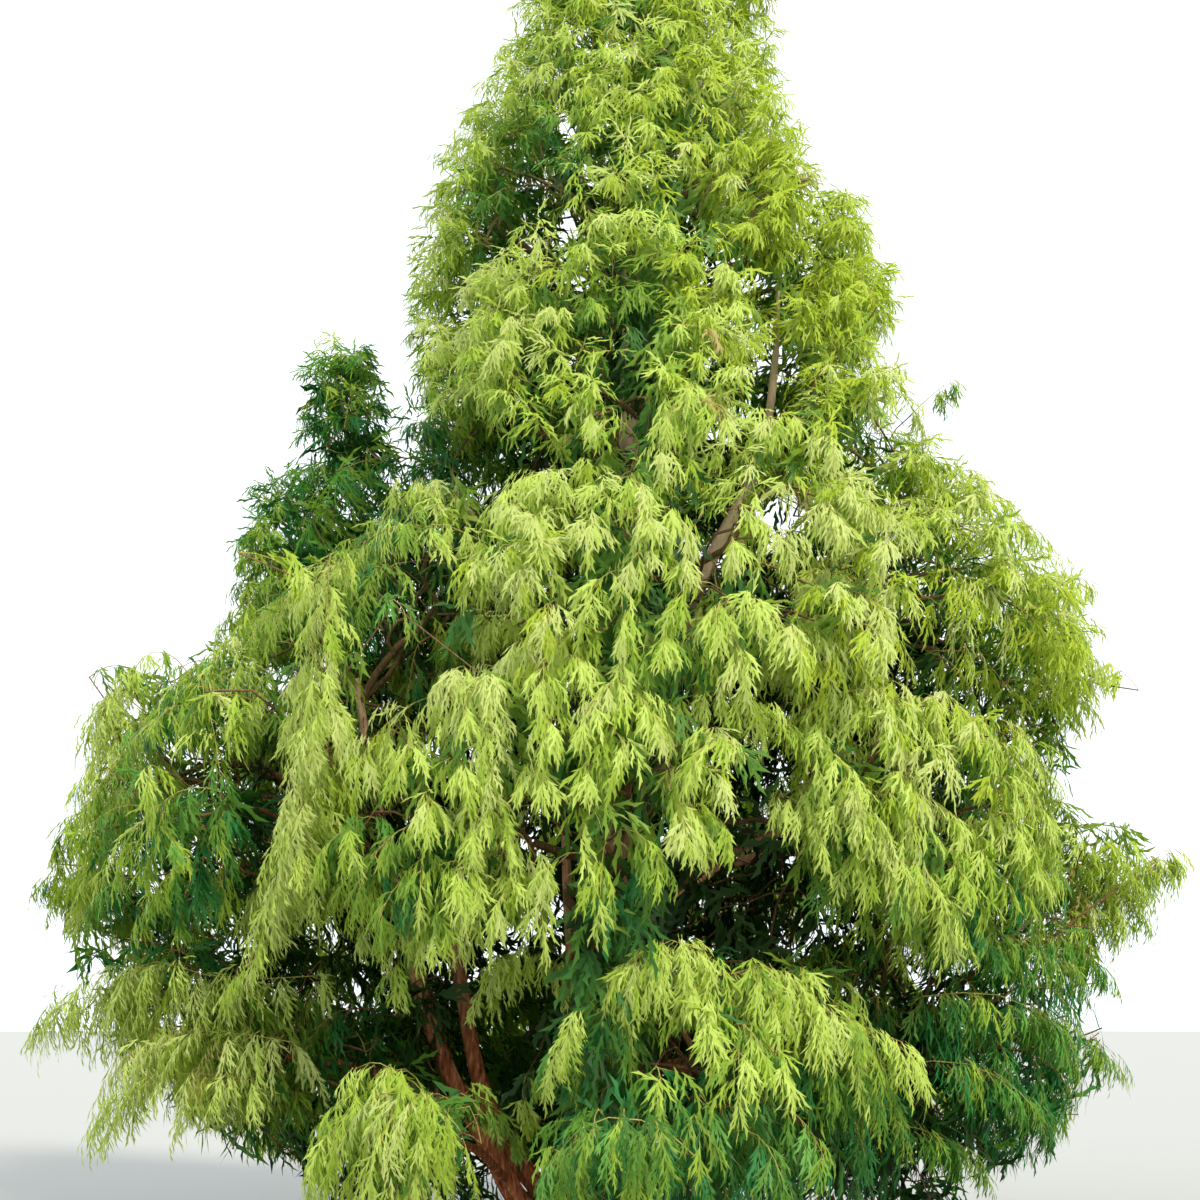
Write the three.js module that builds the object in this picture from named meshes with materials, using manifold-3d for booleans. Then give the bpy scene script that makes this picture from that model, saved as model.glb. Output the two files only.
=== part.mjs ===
// Bald cypress, a whole young tree branched to the ground: one leader with a
// root flare, four more stems from the same foot, boughs, and the masses of
// drooping foliage that they carry.
// Millimetres, +Z up. The origin is the middle of the flat cut at ground level,
// -Y is the front, and the leader leans a little towards +X.
import * as THREE from 'three';
import { mergeVertices } from 'three/addons/utils/BufferGeometryUtils.js';
import Module from 'manifold-3d';

const wasm = await Module();
wasm.setup();

// ---- driving sizes, in metres and degrees ---------------------------------
const MM = 1000;
const GAP = 0.0005;          // room left between a piece and what cuts it
const FOOT_R = 0.17;         // plain radius of the trunk at the ground
const FLARE_R = 0.28;        // reach of the root flare at the ground
const FLARE_H = 0.50;        // height at which the flare has died away
const TRUNK_SIDES = 11;
const STEM_SIDES = 6;
const BOUGH_SIDES = 5;
const MASS_SEGMENTS = 8;
const MASS_RINGS = 5;
const ROOM_SIDES = 5;        // the plainer hole that a mass leaves round a stem

// Each stem: centre line (x, y, z) and radius at each of its points.
const STEMS = {
  trunk: {
    line: [[0, 0, 0], [0.03, 0, 0.35], [0.08, 0, 1.0], [0.14, 0, 1.8], [0.19, 0, 2.5],
      [0.25, 0.02, 3.6], [0.29, 0.03, 5.0], [0.32, 0.03, 6.4], [0.37, 0.02, 7.8],
      [0.42, 0, 9.2], [0.46, 0, 10.1], [0.48, 0, 10.5]],
    radius: [FOOT_R, 0.138, 0.118, 0.108, 0.096, 0.082, 0.068, 0.053, 0.039, 0.025, 0.013, 0.006],
  },
  stem_right: {
    line: [[0.165, 0, 2.1], [0.27, -0.03, 2.5], [0.42, -0.08, 2.95], [0.56, -0.18, 3.5],
      [0.68, -0.28, 4.1], [0.9, -0.3, 4.6], [1.18, -0.28, 5.17], [1.31, -0.2, 5.9], [1.36, -0.12, 6.6]],
    radius: [0.062, 0.06, 0.056, 0.052, 0.047, 0.041, 0.033, 0.023, 0.011],
  },
  stem_left_back: {
    line: [[0, 0, 0.1], [-0.12, -0.04, 0.24], [-0.27, -0.09, 0.42], [-0.52, -0.06, 0.74],
      [-0.68, 0, 1.11], [-0.81, 0.1, 1.68], [-1.0, 0.25, 2.5], [-1.25, 0.45, 3.5],
      [-1.5, 0.62, 4.5], [-1.73, 0.75, 5.4], [-1.85, 0.8, 6.1]],
    radius: [0.078, 0.072, 0.066, 0.058, 0.049, 0.043, 0.039, 0.033, 0.026, 0.017, 0.009],
  },
  stem_left_front: {
    line: [[-0.02, -0.03, 0.06], [-0.22, -0.13, 0.2], [-0.42, -0.22, 0.4], [-0.62, -0.3, 0.76],
      [-0.83, -0.34, 1.12], [-0.98, -0.38, 1.5], [-1.15, -0.48, 2.1], [-1.33, -0.6, 2.9], [-1.45, -0.7, 3.6]],
    radius: [0.072, 0.068, 0.063, 0.056, 0.051, 0.046, 0.039, 0.03, 0.02],
  },
  stem_front: {
    line: [[0.03, -0.05, 0.4], [-0.02, -0.22, 0.9], [-0.07, -0.35, 1.5], [-0.09, -0.42, 2.0],
      [-0.12, -0.5, 2.66], [-0.1, -0.62, 3.3]],
    radius: [0.038, 0.036, 0.033, 0.031, 0.026, 0.018],
  },
};

// The crown's outline: height, then how far it reaches from the leader at the
// right, back, left and front. No mass of a tier stands outside it.
const OUTLINE = [
  [10.7, 0.1, 0.1, 0.1, 0.1],
  [10.35, 0.4, 0.38, 0.38, 0.4],
  [9.8, 0.68, 0.66, 0.64, 0.68],
  [8.8, 1.0, 0.98, 0.95, 1.0],
  [8.0, 1.12, 1.25, 1.24, 1.3],
  [7.65, 1.18, 1.42, 1.38, 1.46],
  [7.3, 1.62, 1.56, 1.52, 1.62],
  [6.45, 1.92, 1.82, 1.6, 1.88],
  [5.75, 1.8, 1.98, 1.4, 2.02],
  [5.3, 2.42, 2.2, 1.42, 2.22],
  [4.95, 2.52, 2.45, 1.5, 2.4],
  [4.3, 3.14, 2.8, 2.0, 2.66],
  [3.6, 3.32, 3.05, 3.3, 2.8],
  [2.9, 3.12, 3.2, 3.68, 2.88],
  [2.2, 3.1, 3.2, 3.8, 2.8],
  [1.6, 3.05, 3.1, 3.5, 2.7],
];

// Tiers of foliage round the leader. reach is how far each mass would run at
// the right, back, left and front; inner is where the masses start.
const TIERS = [
  { name: 'peak', n: 3, phase: 25, z: 9.15, half: 0.74, reach: [1.08, 1.05, 1.08, 1.1], inner: -0.04, wide: 0.86, tilt: 30, droop: 0.1 },
  { name: 'high', n: 4, phase: -42, z: 8.05, half: 0.82, reach: [1.35, 1.45, 1.5, 1.5], inner: 0, wide: 0.88, tilt: 18, droop: 0.16 },
  { name: 'upper', n: 4, phase: 8, z: 6.9, half: 0.92, reach: [2.05, 1.9, 1.9, 2.05], inner: 0.06, wide: 0.9, tilt: 14, droop: 0.2 },
  { name: 'middle', n: 5, phase: -22, z: 5.55, half: 0.92, reach: [2.5, 2.35, 1.8, 2.5], inner: 0.3, wide: 0.88, tilt: 12, droop: 0.22 },
  { name: 'broad', n: 5, phase: -8, z: 4.1, half: 0.96, reach: [3.55, 3.1, 2.8, 3.0], inner: 0.65, wide: 0.88, tilt: 10, droop: 0.24 },
  { name: 'lower', n: 6, phase: 18, z: 2.7, half: 0.94, reach: [3.45, 3.4, 3.95, 3.05], inner: 1.0, wide: 0.88, tilt: 8, droop: 0.26 },
];

// Masses that stand apart from the tiers: middle, heading, half length along
// it, half width, half height, tilt and droop.
const SPECIAL = [
  { name: 'tip', at: [0.46, 0, 10.08], az: 0, size: [0.46, 0.46, 0.62], tilt: 4, droop: 0 },
  { name: 'lobe_top', at: [-1.78, 0.76, 5.86], az: 160, size: [0.46, 0.46, 0.6], tilt: 4, droop: 0 },
  { name: 'lobe_middle', at: [-1.8, 0.66, 4.6], az: 160, size: [0.82, 0.74, 0.92], tilt: 6, droop: 0.05 },
  { name: 'column_left', at: [-1.5, -1.6, 3.0], az: 225, size: [0.44, 0.42, 1.16], tilt: 2, droop: 0 },
  { name: 'column_far_left', at: [-2.9, -0.7, 3.1], az: 196, size: [0.42, 0.44, 0.66], tilt: 0, droop: 0 },
  { name: 'spray_right', at: [3.0, -0.15, 2.1], az: 352, size: [0.95, 0.5, 0.38], tilt: 20, droop: 0.04 },
  { name: 'skirt_left', at: [-2.2, -0.78, 1.36], az: 198, size: [0.94, 0.62, 0.5], tilt: 14, droop: 0.1 },
  { name: 'skirt_front_left', at: [-1.02, -2.25, 0.8], az: 246, size: [0.52, 0.44, 0.42], tilt: 0, droop: 0.12 },
  { name: 'skirt_front', at: [0.22, -2.35, 0.74], az: 272, size: [0.6, 0.42, 0.38], tilt: -4, droop: 0.16 },
  { name: 'skirt_front_right', at: [0.82, -1.85, 1.2], az: 300, size: [0.9, 0.92, 0.68], tilt: -2, droop: 0.2 },
  { name: 'skirt_right', at: [2.18, -0.5, 1.34], az: 350, size: [1.1, 0.85, 0.8], tilt: 19, droop: 0.06 },
  { name: 'skirt_back_right', at: [1.75, 1.7, 1.3], az: 44, size: [1.25, 1.0, 0.85], tilt: 4, droop: 0.2 },
  { name: 'skirt_back', at: [-0.3, 2.1, 1.3], az: 96, size: [1.2, 1.0, 0.85], tilt: 4, droop: 0.2 },
  { name: 'skirt_back_left', at: [-1.95, 1.3, 1.3], az: 148, size: [1.15, 0.95, 0.8], tilt: 8, droop: 0.16 },
];

// The open place in the crown where the sky shows through, right of the leader:
// middle, half length front to back, half width, half height, and the slope of
// the line of sight that it follows.
const SKY_GAP = { at: [1.36, 0, 4.9], size: [3.6, 0.26, 0.2], rise: 15, turn: 6 };

// Boughs: name, what it leaves, the height there, the mass it runs to, and its
// radius at the start.
const BOUGHS = [
  ['bough_broad_right', 'stem_right', 3.2, 'broad_right', 0.04],
  ['bough_broad_back_right', 'trunk', 3.5, 'broad_back_right', 0.038],
  ['bough_broad_front', 'trunk', 3.3, 'broad_front', 0.034],
  ['bough_lower_right', 'trunk', 2.0, 'lower_right', 0.04],
  ['bough_lower_back', 'trunk', 2.1, 'lower_back', 0.038],
  ['bough_lower_front_right', 'trunk', 1.9, 'lower_front_right', 0.034],
  ['bough_skirt_left', 'stem_left_front', 0.85, 'skirt_left', 0.036],
  ['bough_skirt_front_left', 'stem_left_front', 0.5, 'skirt_front_left', 0.028],
  ['bough_skirt_front', 'trunk', 0.55, 'skirt_front', 0.028],
  ['bough_skirt_front_right', 'trunk', 0.9, 'skirt_front_right', 0.036],
  ['bough_skirt_right', 'trunk', 1.05, 'skirt_right', 0.042],
  ['bough_skirt_back_right', 'trunk', 1.2, 'skirt_back_right', 0.038],
  ['bough_skirt_back', 'trunk', 0.8, 'skirt_back', 0.036],
  ['bough_skirt_back_left', 'stem_left_back', 0.9, 'skirt_back_left', 0.034],
];

const BARK = new THREE.MeshStandardMaterial({ color: 0x8a5136, roughness: 0.9, metalness: 0 });
const LEAF_COLOURS = [0x9fb845, 0x87a63f, 0xb2c257, 0x6f9440];

// ---- helpers ---------------------------------------------------------------
const rad = (d) => (d * Math.PI) / 180;
const V = (a) => new THREE.Vector3(a[0], a[1], a[2]);
const hash = (i, s) => {
  const v = Math.sin(i * 127.1 + s * 311.7) * 43758.5453;
  return v - Math.floor(v);
};

// A smooth uneven value from -1 to 1 on the unit sphere.
function unevenness(u, seed) {
  let sum = 0;
  for (let k = 0; k < 4; k++) {
    const dir = new THREE.Vector3(hash(k, seed) - 0.5, hash(k + 7, seed) - 0.5, hash(k + 13, seed) - 0.5).normalize();
    sum += Math.sin((2.2 + 0.9 * k) * dir.dot(u) + 6.28 * hash(k + 23, seed));
  }
  return sum / 4;
}

// A point on a stem's centre line, by arc through its points, at t from 0 to 1.
function stemCurve(stem) {
  return new THREE.CatmullRomCurve3(stem.line.map(V), false, 'centripetal');
}
function radiusAt(stem, t) {
  const s = t * (stem.radius.length - 1);
  const i = Math.min(Math.floor(s), stem.radius.length - 2);
  return stem.radius[i] + (stem.radius[i + 1] - stem.radius[i]) * (s - i);
}
function stemPointAtHeight(stem, z) {
  const curve = stemCurve(stem);
  let lo = 0;
  let hi = 1;
  for (let k = 0; k < 40; k++) {
    const mid = (lo + hi) / 2;
    if (curve.getPoint(mid).z < z) lo = mid; else hi = mid;
  }
  return curve.getPoint((lo + hi) / 2);
}

// Reach of the root flare beyond the plain radius, with one lobe per root.
function flareAt(angle, z) {
  const fade = Math.pow(Math.max(0, 1 - z / FLARE_H), 2);
  const lobes = 0.55 + 0.45 * Math.cos(5 * angle + 0.6) + 0.15 * Math.cos(3 * angle + 2.0);
  return (FLARE_R - FOOT_R) * fade * Math.max(0.12, lobes);
}

// A closed tapering limb through rings that turn with its curve. extra makes
// it thicker all round, for use as a cutter.
function limbGeometry(spec, sides, rings, extra, flared) {
  const curve = stemCurve(spec);
  const position = [];
  const index = [];
  let normal = new THREE.Vector3(1, 0, 0);
  const stops = [];
  for (let i = 0; i <= rings; i++) {
    // more rings where a flared foot changes fastest
    const t = flared ? Math.pow(i / rings, 1.35) : i / rings;
    stops.push(t);
  }
  stops.forEach((t, i) => {
    const p = curve.getPoint(t);
    const tangent = i === 0 && flared ? new THREE.Vector3(0, 0, 1) : curve.getTangent(t);
    if (i === 0 && extra > 0 && !flared) p.addScaledVector(tangent, -extra);
    if (i === rings && extra > 0) p.addScaledVector(tangent, extra * 2);
    normal = normal.clone().addScaledVector(tangent, -normal.dot(tangent)).normalize();
    const binormal = new THREE.Vector3().crossVectors(tangent, normal);
    for (let k = 0; k < sides; k++) {
      const a = (2 * Math.PI * k) / sides;
      let r = radiusAt(spec, t);
      if (flared) r += flareAt(a, Math.max(p.z, 0));
      r += extra;
      const q = p.clone().addScaledVector(normal, r * Math.cos(a)).addScaledVector(binormal, r * Math.sin(a));
      position.push(q.x * MM, q.y * MM, q.z * MM);
    }
  });
  const end0 = position.length / 3;
  let c = curve.getPoint(0);
  if (extra > 0 && !flared) c.addScaledVector(curve.getTangent(0), -extra);
  position.push(c.x * MM, c.y * MM, c.z * MM);
  const end1 = position.length / 3;
  c = curve.getPoint(1);
  if (extra > 0) c.addScaledVector(curve.getTangent(1), extra * 2);
  position.push(c.x * MM, c.y * MM, c.z * MM);
  for (let i = 0; i < rings; i++) {
    for (let k = 0; k < sides; k++) {
      const a = i * sides + k;
      const b = i * sides + ((k + 1) % sides);
      index.push(a, b, b + sides, a, b + sides, a + sides);
    }
  }
  for (let k = 0; k < sides; k++) {
    const n = (k + 1) % sides;
    index.push(end0, n, k, end1, rings * sides + k, rings * sides + n);
  }
  return geometryFrom(position, index);
}

// A closed uneven lump: rings round an axis that runs outwards from the tree,
// narrower at its inner end, hanging lower towards its outer end.
function massGeometry(m, grow) {
  const [a, b, c] = m.size;
  const out = new THREE.Vector3(Math.cos(rad(m.az)), Math.sin(rad(m.az)), 0);
  const side = new THREE.Vector3(-out.y, out.x, 0);
  const e1 = out.clone().multiplyScalar(Math.cos(rad(m.tilt))).add(new THREE.Vector3(0, 0, Math.sin(rad(m.tilt))));
  const e3 = new THREE.Vector3().crossVectors(e1, side);
  const centre = V(m.at);
  const position = [];
  const index = [];
  const place = (theta, phi) => {
    const u = new THREE.Vector3(-Math.cos(theta), Math.sin(theta) * Math.cos(phi), Math.sin(theta) * Math.sin(phi));
    const bulge = 1 + 0.17 * unevenness(u, m.seed);
    const narrow = m.round ? 1 : 0.7 + 0.3 * Math.min(1, (u.x + 1) / 1.3);
    // fuller than an ellipsoid, so that neighbours meet
    const full = 1 + 0.1 * Math.pow(Math.sin(2 * theta), 2);
    const p = new THREE.Vector3(
      a * bulge * Math.sign(u.x) * Math.pow(Math.abs(u.x), 0.85),
      b * bulge * full * narrow * u.y,
      c * bulge * full * (0.85 + 0.15 * narrow) * u.z * (u.z < 0 ? 1.0 + 0.14 * unevenness(new THREE.Vector3(u.y, u.x, 0.3), m.seed + 5) : 1),
    );
    const run = (u.x + 1) / 2;
    p.z -= m.droop * a * run * run;
    const q = centre.clone().addScaledVector(e1, p.x).addScaledVector(side, p.y).addScaledVector(e3, p.z);
    if (m.tier) {
      // keep inside the crown's outline, on a bumpy version of it
      const axis = stemPointAtHeight(STEMS.trunk, Math.min(q.z, 10.4));
      const dx = q.x - axis.x;
      const dy = q.y - axis.y;
      const r = Math.hypot(dx, dy);
      const az = Math.atan2(dy, dx) * 180 / Math.PI;
      const most = outlineAt(q.z, az) * (1 + 0.045 * unevenness(u, m.seed + 31));
      if (r > most && r > 0.3) {
        const k = (most + 0.12 * (r - most)) / r;
        q.x = axis.x + dx * k;
        q.y = axis.y + dy * k;
      }
    }
    const off = q.clone().sub(centre);
    return centre.clone().addScaledVector(off, 1 + grow / off.length());
  };
  const put = (q) => position.push(q.x * MM, q.y * MM, q.z * MM);
  put(place(0, 0));
  for (let i = 1; i <= MASS_RINGS; i++) {
    for (let k = 0; k < MASS_SEGMENTS; k++) put(place((Math.PI * i) / (MASS_RINGS + 1), (2 * Math.PI * (k + (i % 2) / 2)) / MASS_SEGMENTS));
  }
  put(place(Math.PI, 0));
  const last = position.length / 3 - 1;
  const at = (i, k) => 1 + (i - 1) * MASS_SEGMENTS + (k % MASS_SEGMENTS);
  for (let k = 0; k < MASS_SEGMENTS; k++) {
    index.push(0, at(1, k + 1), at(1, k));
    index.push(last, at(MASS_RINGS, k), at(MASS_RINGS, k + 1));
    for (let i = 1; i < MASS_RINGS; i++) {
      if (i % 2) index.push(at(i, k), at(i, k + 1), at(i + 1, k + 1), at(i, k), at(i + 1, k + 1), at(i + 1, k));
      else index.push(at(i, k), at(i, k + 1), at(i + 1, k), at(i, k + 1), at(i + 1, k + 1), at(i + 1, k));
    }
  }
  return geometryFrom(position, index);
}

function geometryFrom(position, index) {
  const g = new THREE.BufferGeometry();
  g.setAttribute('position', new THREE.Float32BufferAttribute(position, 3));
  g.setIndex(index);
  return g;
}

function solidFrom(geometry) {
  const g = mergeVertices(geometry, 1e-4);
  const solid = new wasm.Manifold(new wasm.Mesh({
    numProp: 3,
    vertProperties: Float32Array.from(g.getAttribute('position').array),
    triVerts: Uint32Array.from(g.getIndex().array),
  }));
  if (solid.volume() < 0) throw new Error('a piece is inside out');
  return solid;
}

function geometryOf(solid) {
  const mesh = solid.getMesh();
  const p = [];
  for (let i = 0; i < mesh.vertProperties.length; i += mesh.numProp) {
    p.push(mesh.vertProperties[i], mesh.vertProperties[i + 1], mesh.vertProperties[i + 2]);
  }
  return geometryFrom(p, Array.from(mesh.triVerts));
}

const overlaps = (p, q) => {
  const a = p.boundingBox();
  const b = q.boundingBox();
  return [0, 1, 2].every((k) => a.min[k] <= b.max[k] && b.min[k] <= a.max[k]);
};

// Cut one solid by the others that reach it, and keep its main piece.
function trim(solid, cutters, keepNear) {
  let rest = solid;
  for (const c of cutters) if (overlaps(rest, c)) rest = rest.subtract(c);
  const parts = rest.decompose();
  if (!parts.length) throw new Error('a piece was cut away');
  const score = (s) => {
    if (!keepNear) return s.volume();
    const b = s.boundingBox();
    return -Math.hypot(...[0, 1, 2].map((k) => Math.max(b.min[k] - keepNear[k] * MM, 0, keepNear[k] * MM - b.max[k])));
  };
  return parts.sort((a, b) => score(b) - score(a))[0];
}

// ---- the list of masses ----------------------------------------------------
const SIDES = ['right', 'back_right', 'back', 'back_left', 'left', 'front_left', 'front', 'front_right'];
const sideOf = (az) => SIDES[Math.round((((az % 360) + 360) % 360) / 45) % 8];

// Reach towards any heading, from the four that are given.
function reachTowards(reach, az) {
  const c = Math.cos(rad(az));
  const s = Math.sin(rad(az));
  return reach[c >= 0 ? 0 : 2] * c * c + reach[s >= 0 ? 1 : 3] * s * s;
}

// The outline's reach at a height and heading.
function outlineAt(z, az) {
  let k = 0;
  while (k < OUTLINE.length - 2 && z < OUTLINE[k + 1][0]) k++;
  const t = Math.min(1, Math.max(0, (OUTLINE[k][0] - z) / (OUTLINE[k][0] - OUTLINE[k + 1][0])));
  const row = [1, 2, 3, 4].map((i) => OUTLINE[k][i] + (OUTLINE[k + 1][i] - OUTLINE[k][i]) * t);
  return reachTowards(row, az);
}

const masses = [];
for (const m of SPECIAL) masses.push({ ...m, name: m.name, round: m.name === 'tip' || m.name === 'lobe_top' });
for (const tier of TIERS) {
  const axis = stemPointAtHeight(STEMS.trunk, tier.z);
  for (let i = 0; i < tier.n; i++) {
    const az = tier.phase + (360 * i) / tier.n;
    const reach = reachTowards(tier.reach, az) * (1 + 0.05 * (hash(i, tier.z) - 0.5));
    const mid = (reach + tier.inner) / 2;
    const half = (reach - tier.inner) / 2;
    masses.push({
      name: `${tier.name}_${sideOf(az)}`,
      at: [axis.x + mid * Math.cos(rad(az)), axis.y + mid * Math.sin(rad(az)),
        tier.z + half * Math.sin(rad(tier.tilt)) * 0.5 + 0.12 * (hash(i + 3, tier.z) - 0.5)],
      az,
      size: [half, tier.wide * (mid + 0.28 * half) * Math.tan(Math.PI / tier.n) * (tier.n === 3 ? 0.62 : tier.n === 4 ? 0.86 : 1), tier.half],
      tilt: tier.tilt,
      droop: tier.droop,
      tier: true,
    });
  }
}
masses.forEach((m, i) => { m.seed = i + 1; });

// ---- build -----------------------------------------------------------------
const limbs = {};
const cutters = [];          // close fits, for what grows from a stem
const rooms = [];            // the holes that masses leave round the stems
for (const [name, stem] of Object.entries(STEMS)) {
  const flared = name === 'trunk';
  const sides = flared ? TRUNK_SIDES : STEM_SIDES;
  const rings = flared ? 13 : 8;
  const solid = solidFrom(limbGeometry(stem, sides, rings, 0, flared));
  limbs[name] = cutters.length ? trim(solid, cutters) : solid;
  cutters.push(solidFrom(limbGeometry(stem, sides, rings, GAP, flared)));
  const wider = { line: stem.line, radius: stem.radius.map((r) => r * 1.26 + 0.004) };
  rooms.push(solidFrom(limbGeometry(wider, ROOM_SIDES, rings, GAP, flared)));
}

const gap = (() => {
  const { at, size, rise, turn } = SKY_GAP;
  const g = new THREE.SphereGeometry(1, 10, 6);
  g.scale(size[1], size[0], size[2]);
  g.rotateX(rad(rise));
  g.rotateZ(rad(-turn));
  g.translate(at[0], at[1], at[2]);
  g.scale(MM, MM, MM);
  g.deleteAttribute('normal');
  g.deleteAttribute('uv');
  return solidFrom(g);
})();

const raw = masses.map((m) => solidFrom(massGeometry(m, 0)));
const grown = masses.map((m) => solidFrom(massGeometry(m, 0.0008)));
const foliage = {};
masses.forEach((m, i) => {
  foliage[m.name] = trim(raw[i], [...grown.slice(0, i), gap, ...rooms]);
});

const boughCutters = [];
for (const [name, from, z, to, r] of BOUGHS) {
  const start = stemPointAtHeight(STEMS[from], z);
  const m = masses.find((q) => q.name === to);
  if (!m) throw new Error(`no mass ${to}`);
  const out = new THREE.Vector3(Math.cos(rad(m.az)) * Math.cos(rad(m.tilt)), Math.sin(rad(m.az)) * Math.cos(rad(m.tilt)), Math.sin(rad(m.tilt)));
  const end = V(m.at).addScaledVector(out, -0.45 * m.size[0]);
  const span = end.distanceTo(start);
  const at = (t, lift) => start.clone().lerp(end, t).add(new THREE.Vector3(0, 0, lift * span)).toArray();
  const spec = { line: [at(0, 0), at(0.35, 0.07), at(0.7, 0.06), at(1, 0)], radius: [r, r * 0.86, r * 0.72, r * 0.6] };
  const solid = solidFrom(limbGeometry(spec, BOUGH_SIDES, 4, 0, false));
  limbs[name] = trim(solid, [...cutters, ...boughCutters, ...grown], start.toArray());
  boughCutters.push(solidFrom(limbGeometry(spec, BOUGH_SIDES, 4, GAP, false)));
}

const tree = new THREE.Group();
for (const [name, solid] of Object.entries(limbs)) {
  const mesh = new THREE.Mesh(geometryOf(solid), BARK.clone());
  mesh.name = name;
  tree.add(mesh);
}
Object.entries(foliage).forEach(([name, solid], i) => {
  const material = new THREE.MeshStandardMaterial({ color: LEAF_COLOURS[i % LEAF_COLOURS.length], roughness: 0.85, metalness: 0 });
  const mesh = new THREE.Mesh(geometryOf(solid), material);
  mesh.name = `foliage_${name}`;
  tree.add(mesh);
});

export default tree;
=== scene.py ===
"""Looks of the bald cypress: bark-relief limbs, and foliage grown on from them by a seeded rule.

Metres, +Z up, -Y is the front. Each limb follows the same line as its solid. Inside every
foliage solid a branch tree grows from the limb that carries it to plumes set over the outside
of the crown; each plume is a drooping spine with hanging sprays of flat needle feathers.
"""
import math

import bpy
import numpy as np
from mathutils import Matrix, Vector
from mathutils.bvhtree import BVHTree


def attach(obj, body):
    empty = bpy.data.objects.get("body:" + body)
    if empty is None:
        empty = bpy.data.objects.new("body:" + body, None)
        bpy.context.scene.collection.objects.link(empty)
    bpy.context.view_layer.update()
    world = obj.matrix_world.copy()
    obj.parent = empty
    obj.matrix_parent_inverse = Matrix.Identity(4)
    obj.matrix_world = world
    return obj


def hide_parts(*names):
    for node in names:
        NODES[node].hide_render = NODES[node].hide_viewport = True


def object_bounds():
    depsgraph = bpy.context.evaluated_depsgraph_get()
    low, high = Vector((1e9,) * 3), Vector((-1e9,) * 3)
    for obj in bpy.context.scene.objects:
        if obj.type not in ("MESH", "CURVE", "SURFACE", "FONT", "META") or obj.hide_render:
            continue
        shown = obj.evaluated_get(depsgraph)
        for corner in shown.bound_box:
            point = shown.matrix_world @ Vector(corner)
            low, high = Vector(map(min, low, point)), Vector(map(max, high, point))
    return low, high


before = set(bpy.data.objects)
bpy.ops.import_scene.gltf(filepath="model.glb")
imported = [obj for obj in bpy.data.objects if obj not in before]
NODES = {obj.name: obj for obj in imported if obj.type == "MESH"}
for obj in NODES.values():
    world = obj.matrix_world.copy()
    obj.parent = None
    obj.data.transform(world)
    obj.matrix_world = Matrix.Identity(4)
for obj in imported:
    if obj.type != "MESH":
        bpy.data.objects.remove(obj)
CAD_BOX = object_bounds()
RNG = np.random.default_rng(20417)
DOWN = np.array([0.0, 0.0, -1.0])
UP = -DOWN

# ---------------------------------------------------------------- sizes shared with the solids
FOOT_R, FLARE_R, FLARE_H = 0.17, 0.28, 0.50
STEMS = {
    "trunk": (
        [[0, 0, 0], [0.03, 0, 0.35], [0.08, 0, 1.0], [0.14, 0, 1.8], [0.19, 0, 2.5],
         [0.25, 0.02, 3.6], [0.29, 0.03, 5.0], [0.32, 0.03, 6.4], [0.37, 0.02, 7.8],
         [0.42, 0, 9.2], [0.46, 0, 10.1], [0.48, 0, 10.5]],
        [FOOT_R, 0.138, 0.118, 0.108, 0.096, 0.082, 0.068, 0.053, 0.039, 0.025, 0.013, 0.006]),
    "stem_right": (
        [[0.165, 0, 2.1], [0.27, -0.03, 2.5], [0.42, -0.08, 2.95], [0.56, -0.18, 3.5],
         [0.68, -0.28, 4.1], [0.9, -0.3, 4.6], [1.18, -0.28, 5.17], [1.31, -0.2, 5.9], [1.36, -0.12, 6.6]],
        [0.062, 0.06, 0.056, 0.052, 0.047, 0.041, 0.033, 0.023, 0.011]),
    "stem_left_back": (
        [[0, 0, 0.1], [-0.12, -0.04, 0.24], [-0.27, -0.09, 0.42], [-0.52, -0.06, 0.74],
         [-0.68, 0, 1.11], [-0.81, 0.1, 1.68], [-1.0, 0.25, 2.5], [-1.25, 0.45, 3.5],
         [-1.5, 0.62, 4.5], [-1.73, 0.75, 5.4], [-1.85, 0.8, 6.1]],
        [0.078, 0.072, 0.066, 0.058, 0.049, 0.043, 0.039, 0.033, 0.026, 0.017, 0.009]),
    "stem_left_front": (
        [[-0.02, -0.03, 0.06], [-0.22, -0.13, 0.2], [-0.42, -0.22, 0.4], [-0.62, -0.3, 0.76],
         [-0.83, -0.34, 1.12], [-0.98, -0.38, 1.5], [-1.15, -0.48, 2.1], [-1.33, -0.6, 2.9], [-1.45, -0.7, 3.6]],
        [0.072, 0.068, 0.063, 0.056, 0.051, 0.046, 0.039, 0.03, 0.02]),
    "stem_front": (
        [[0.03, -0.05, 0.4], [-0.02, -0.22, 0.9], [-0.07, -0.35, 1.5], [-0.09, -0.42, 2.0],
         [-0.12, -0.5, 2.66], [-0.1, -0.62, 3.3]],
        [0.038, 0.036, 0.033, 0.031, 0.026, 0.018]),
}
# name: (count, phase, z, reach right/back/left/front, inner, tilt)
TIERS = {
    "peak": (3, 25, 9.15, [1.08, 1.05, 1.08, 1.1], -0.04, 30),
    "high": (4, -42, 8.05, [1.35, 1.45, 1.5, 1.5], 0.0, 18),
    "upper": (4, 8, 6.9, [2.05, 1.9, 1.9, 2.05], 0.06, 14),
    "middle": (5, -22, 5.55, [2.5, 2.35, 1.8, 2.5], 0.3, 12),
    "broad": (5, -8, 4.1, [3.55, 3.1, 2.8, 3.0], 0.65, 10),
    "lower": (6, 18, 2.7, [3.45, 3.4, 3.95, 3.05], 1.0, 8),
}
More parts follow.
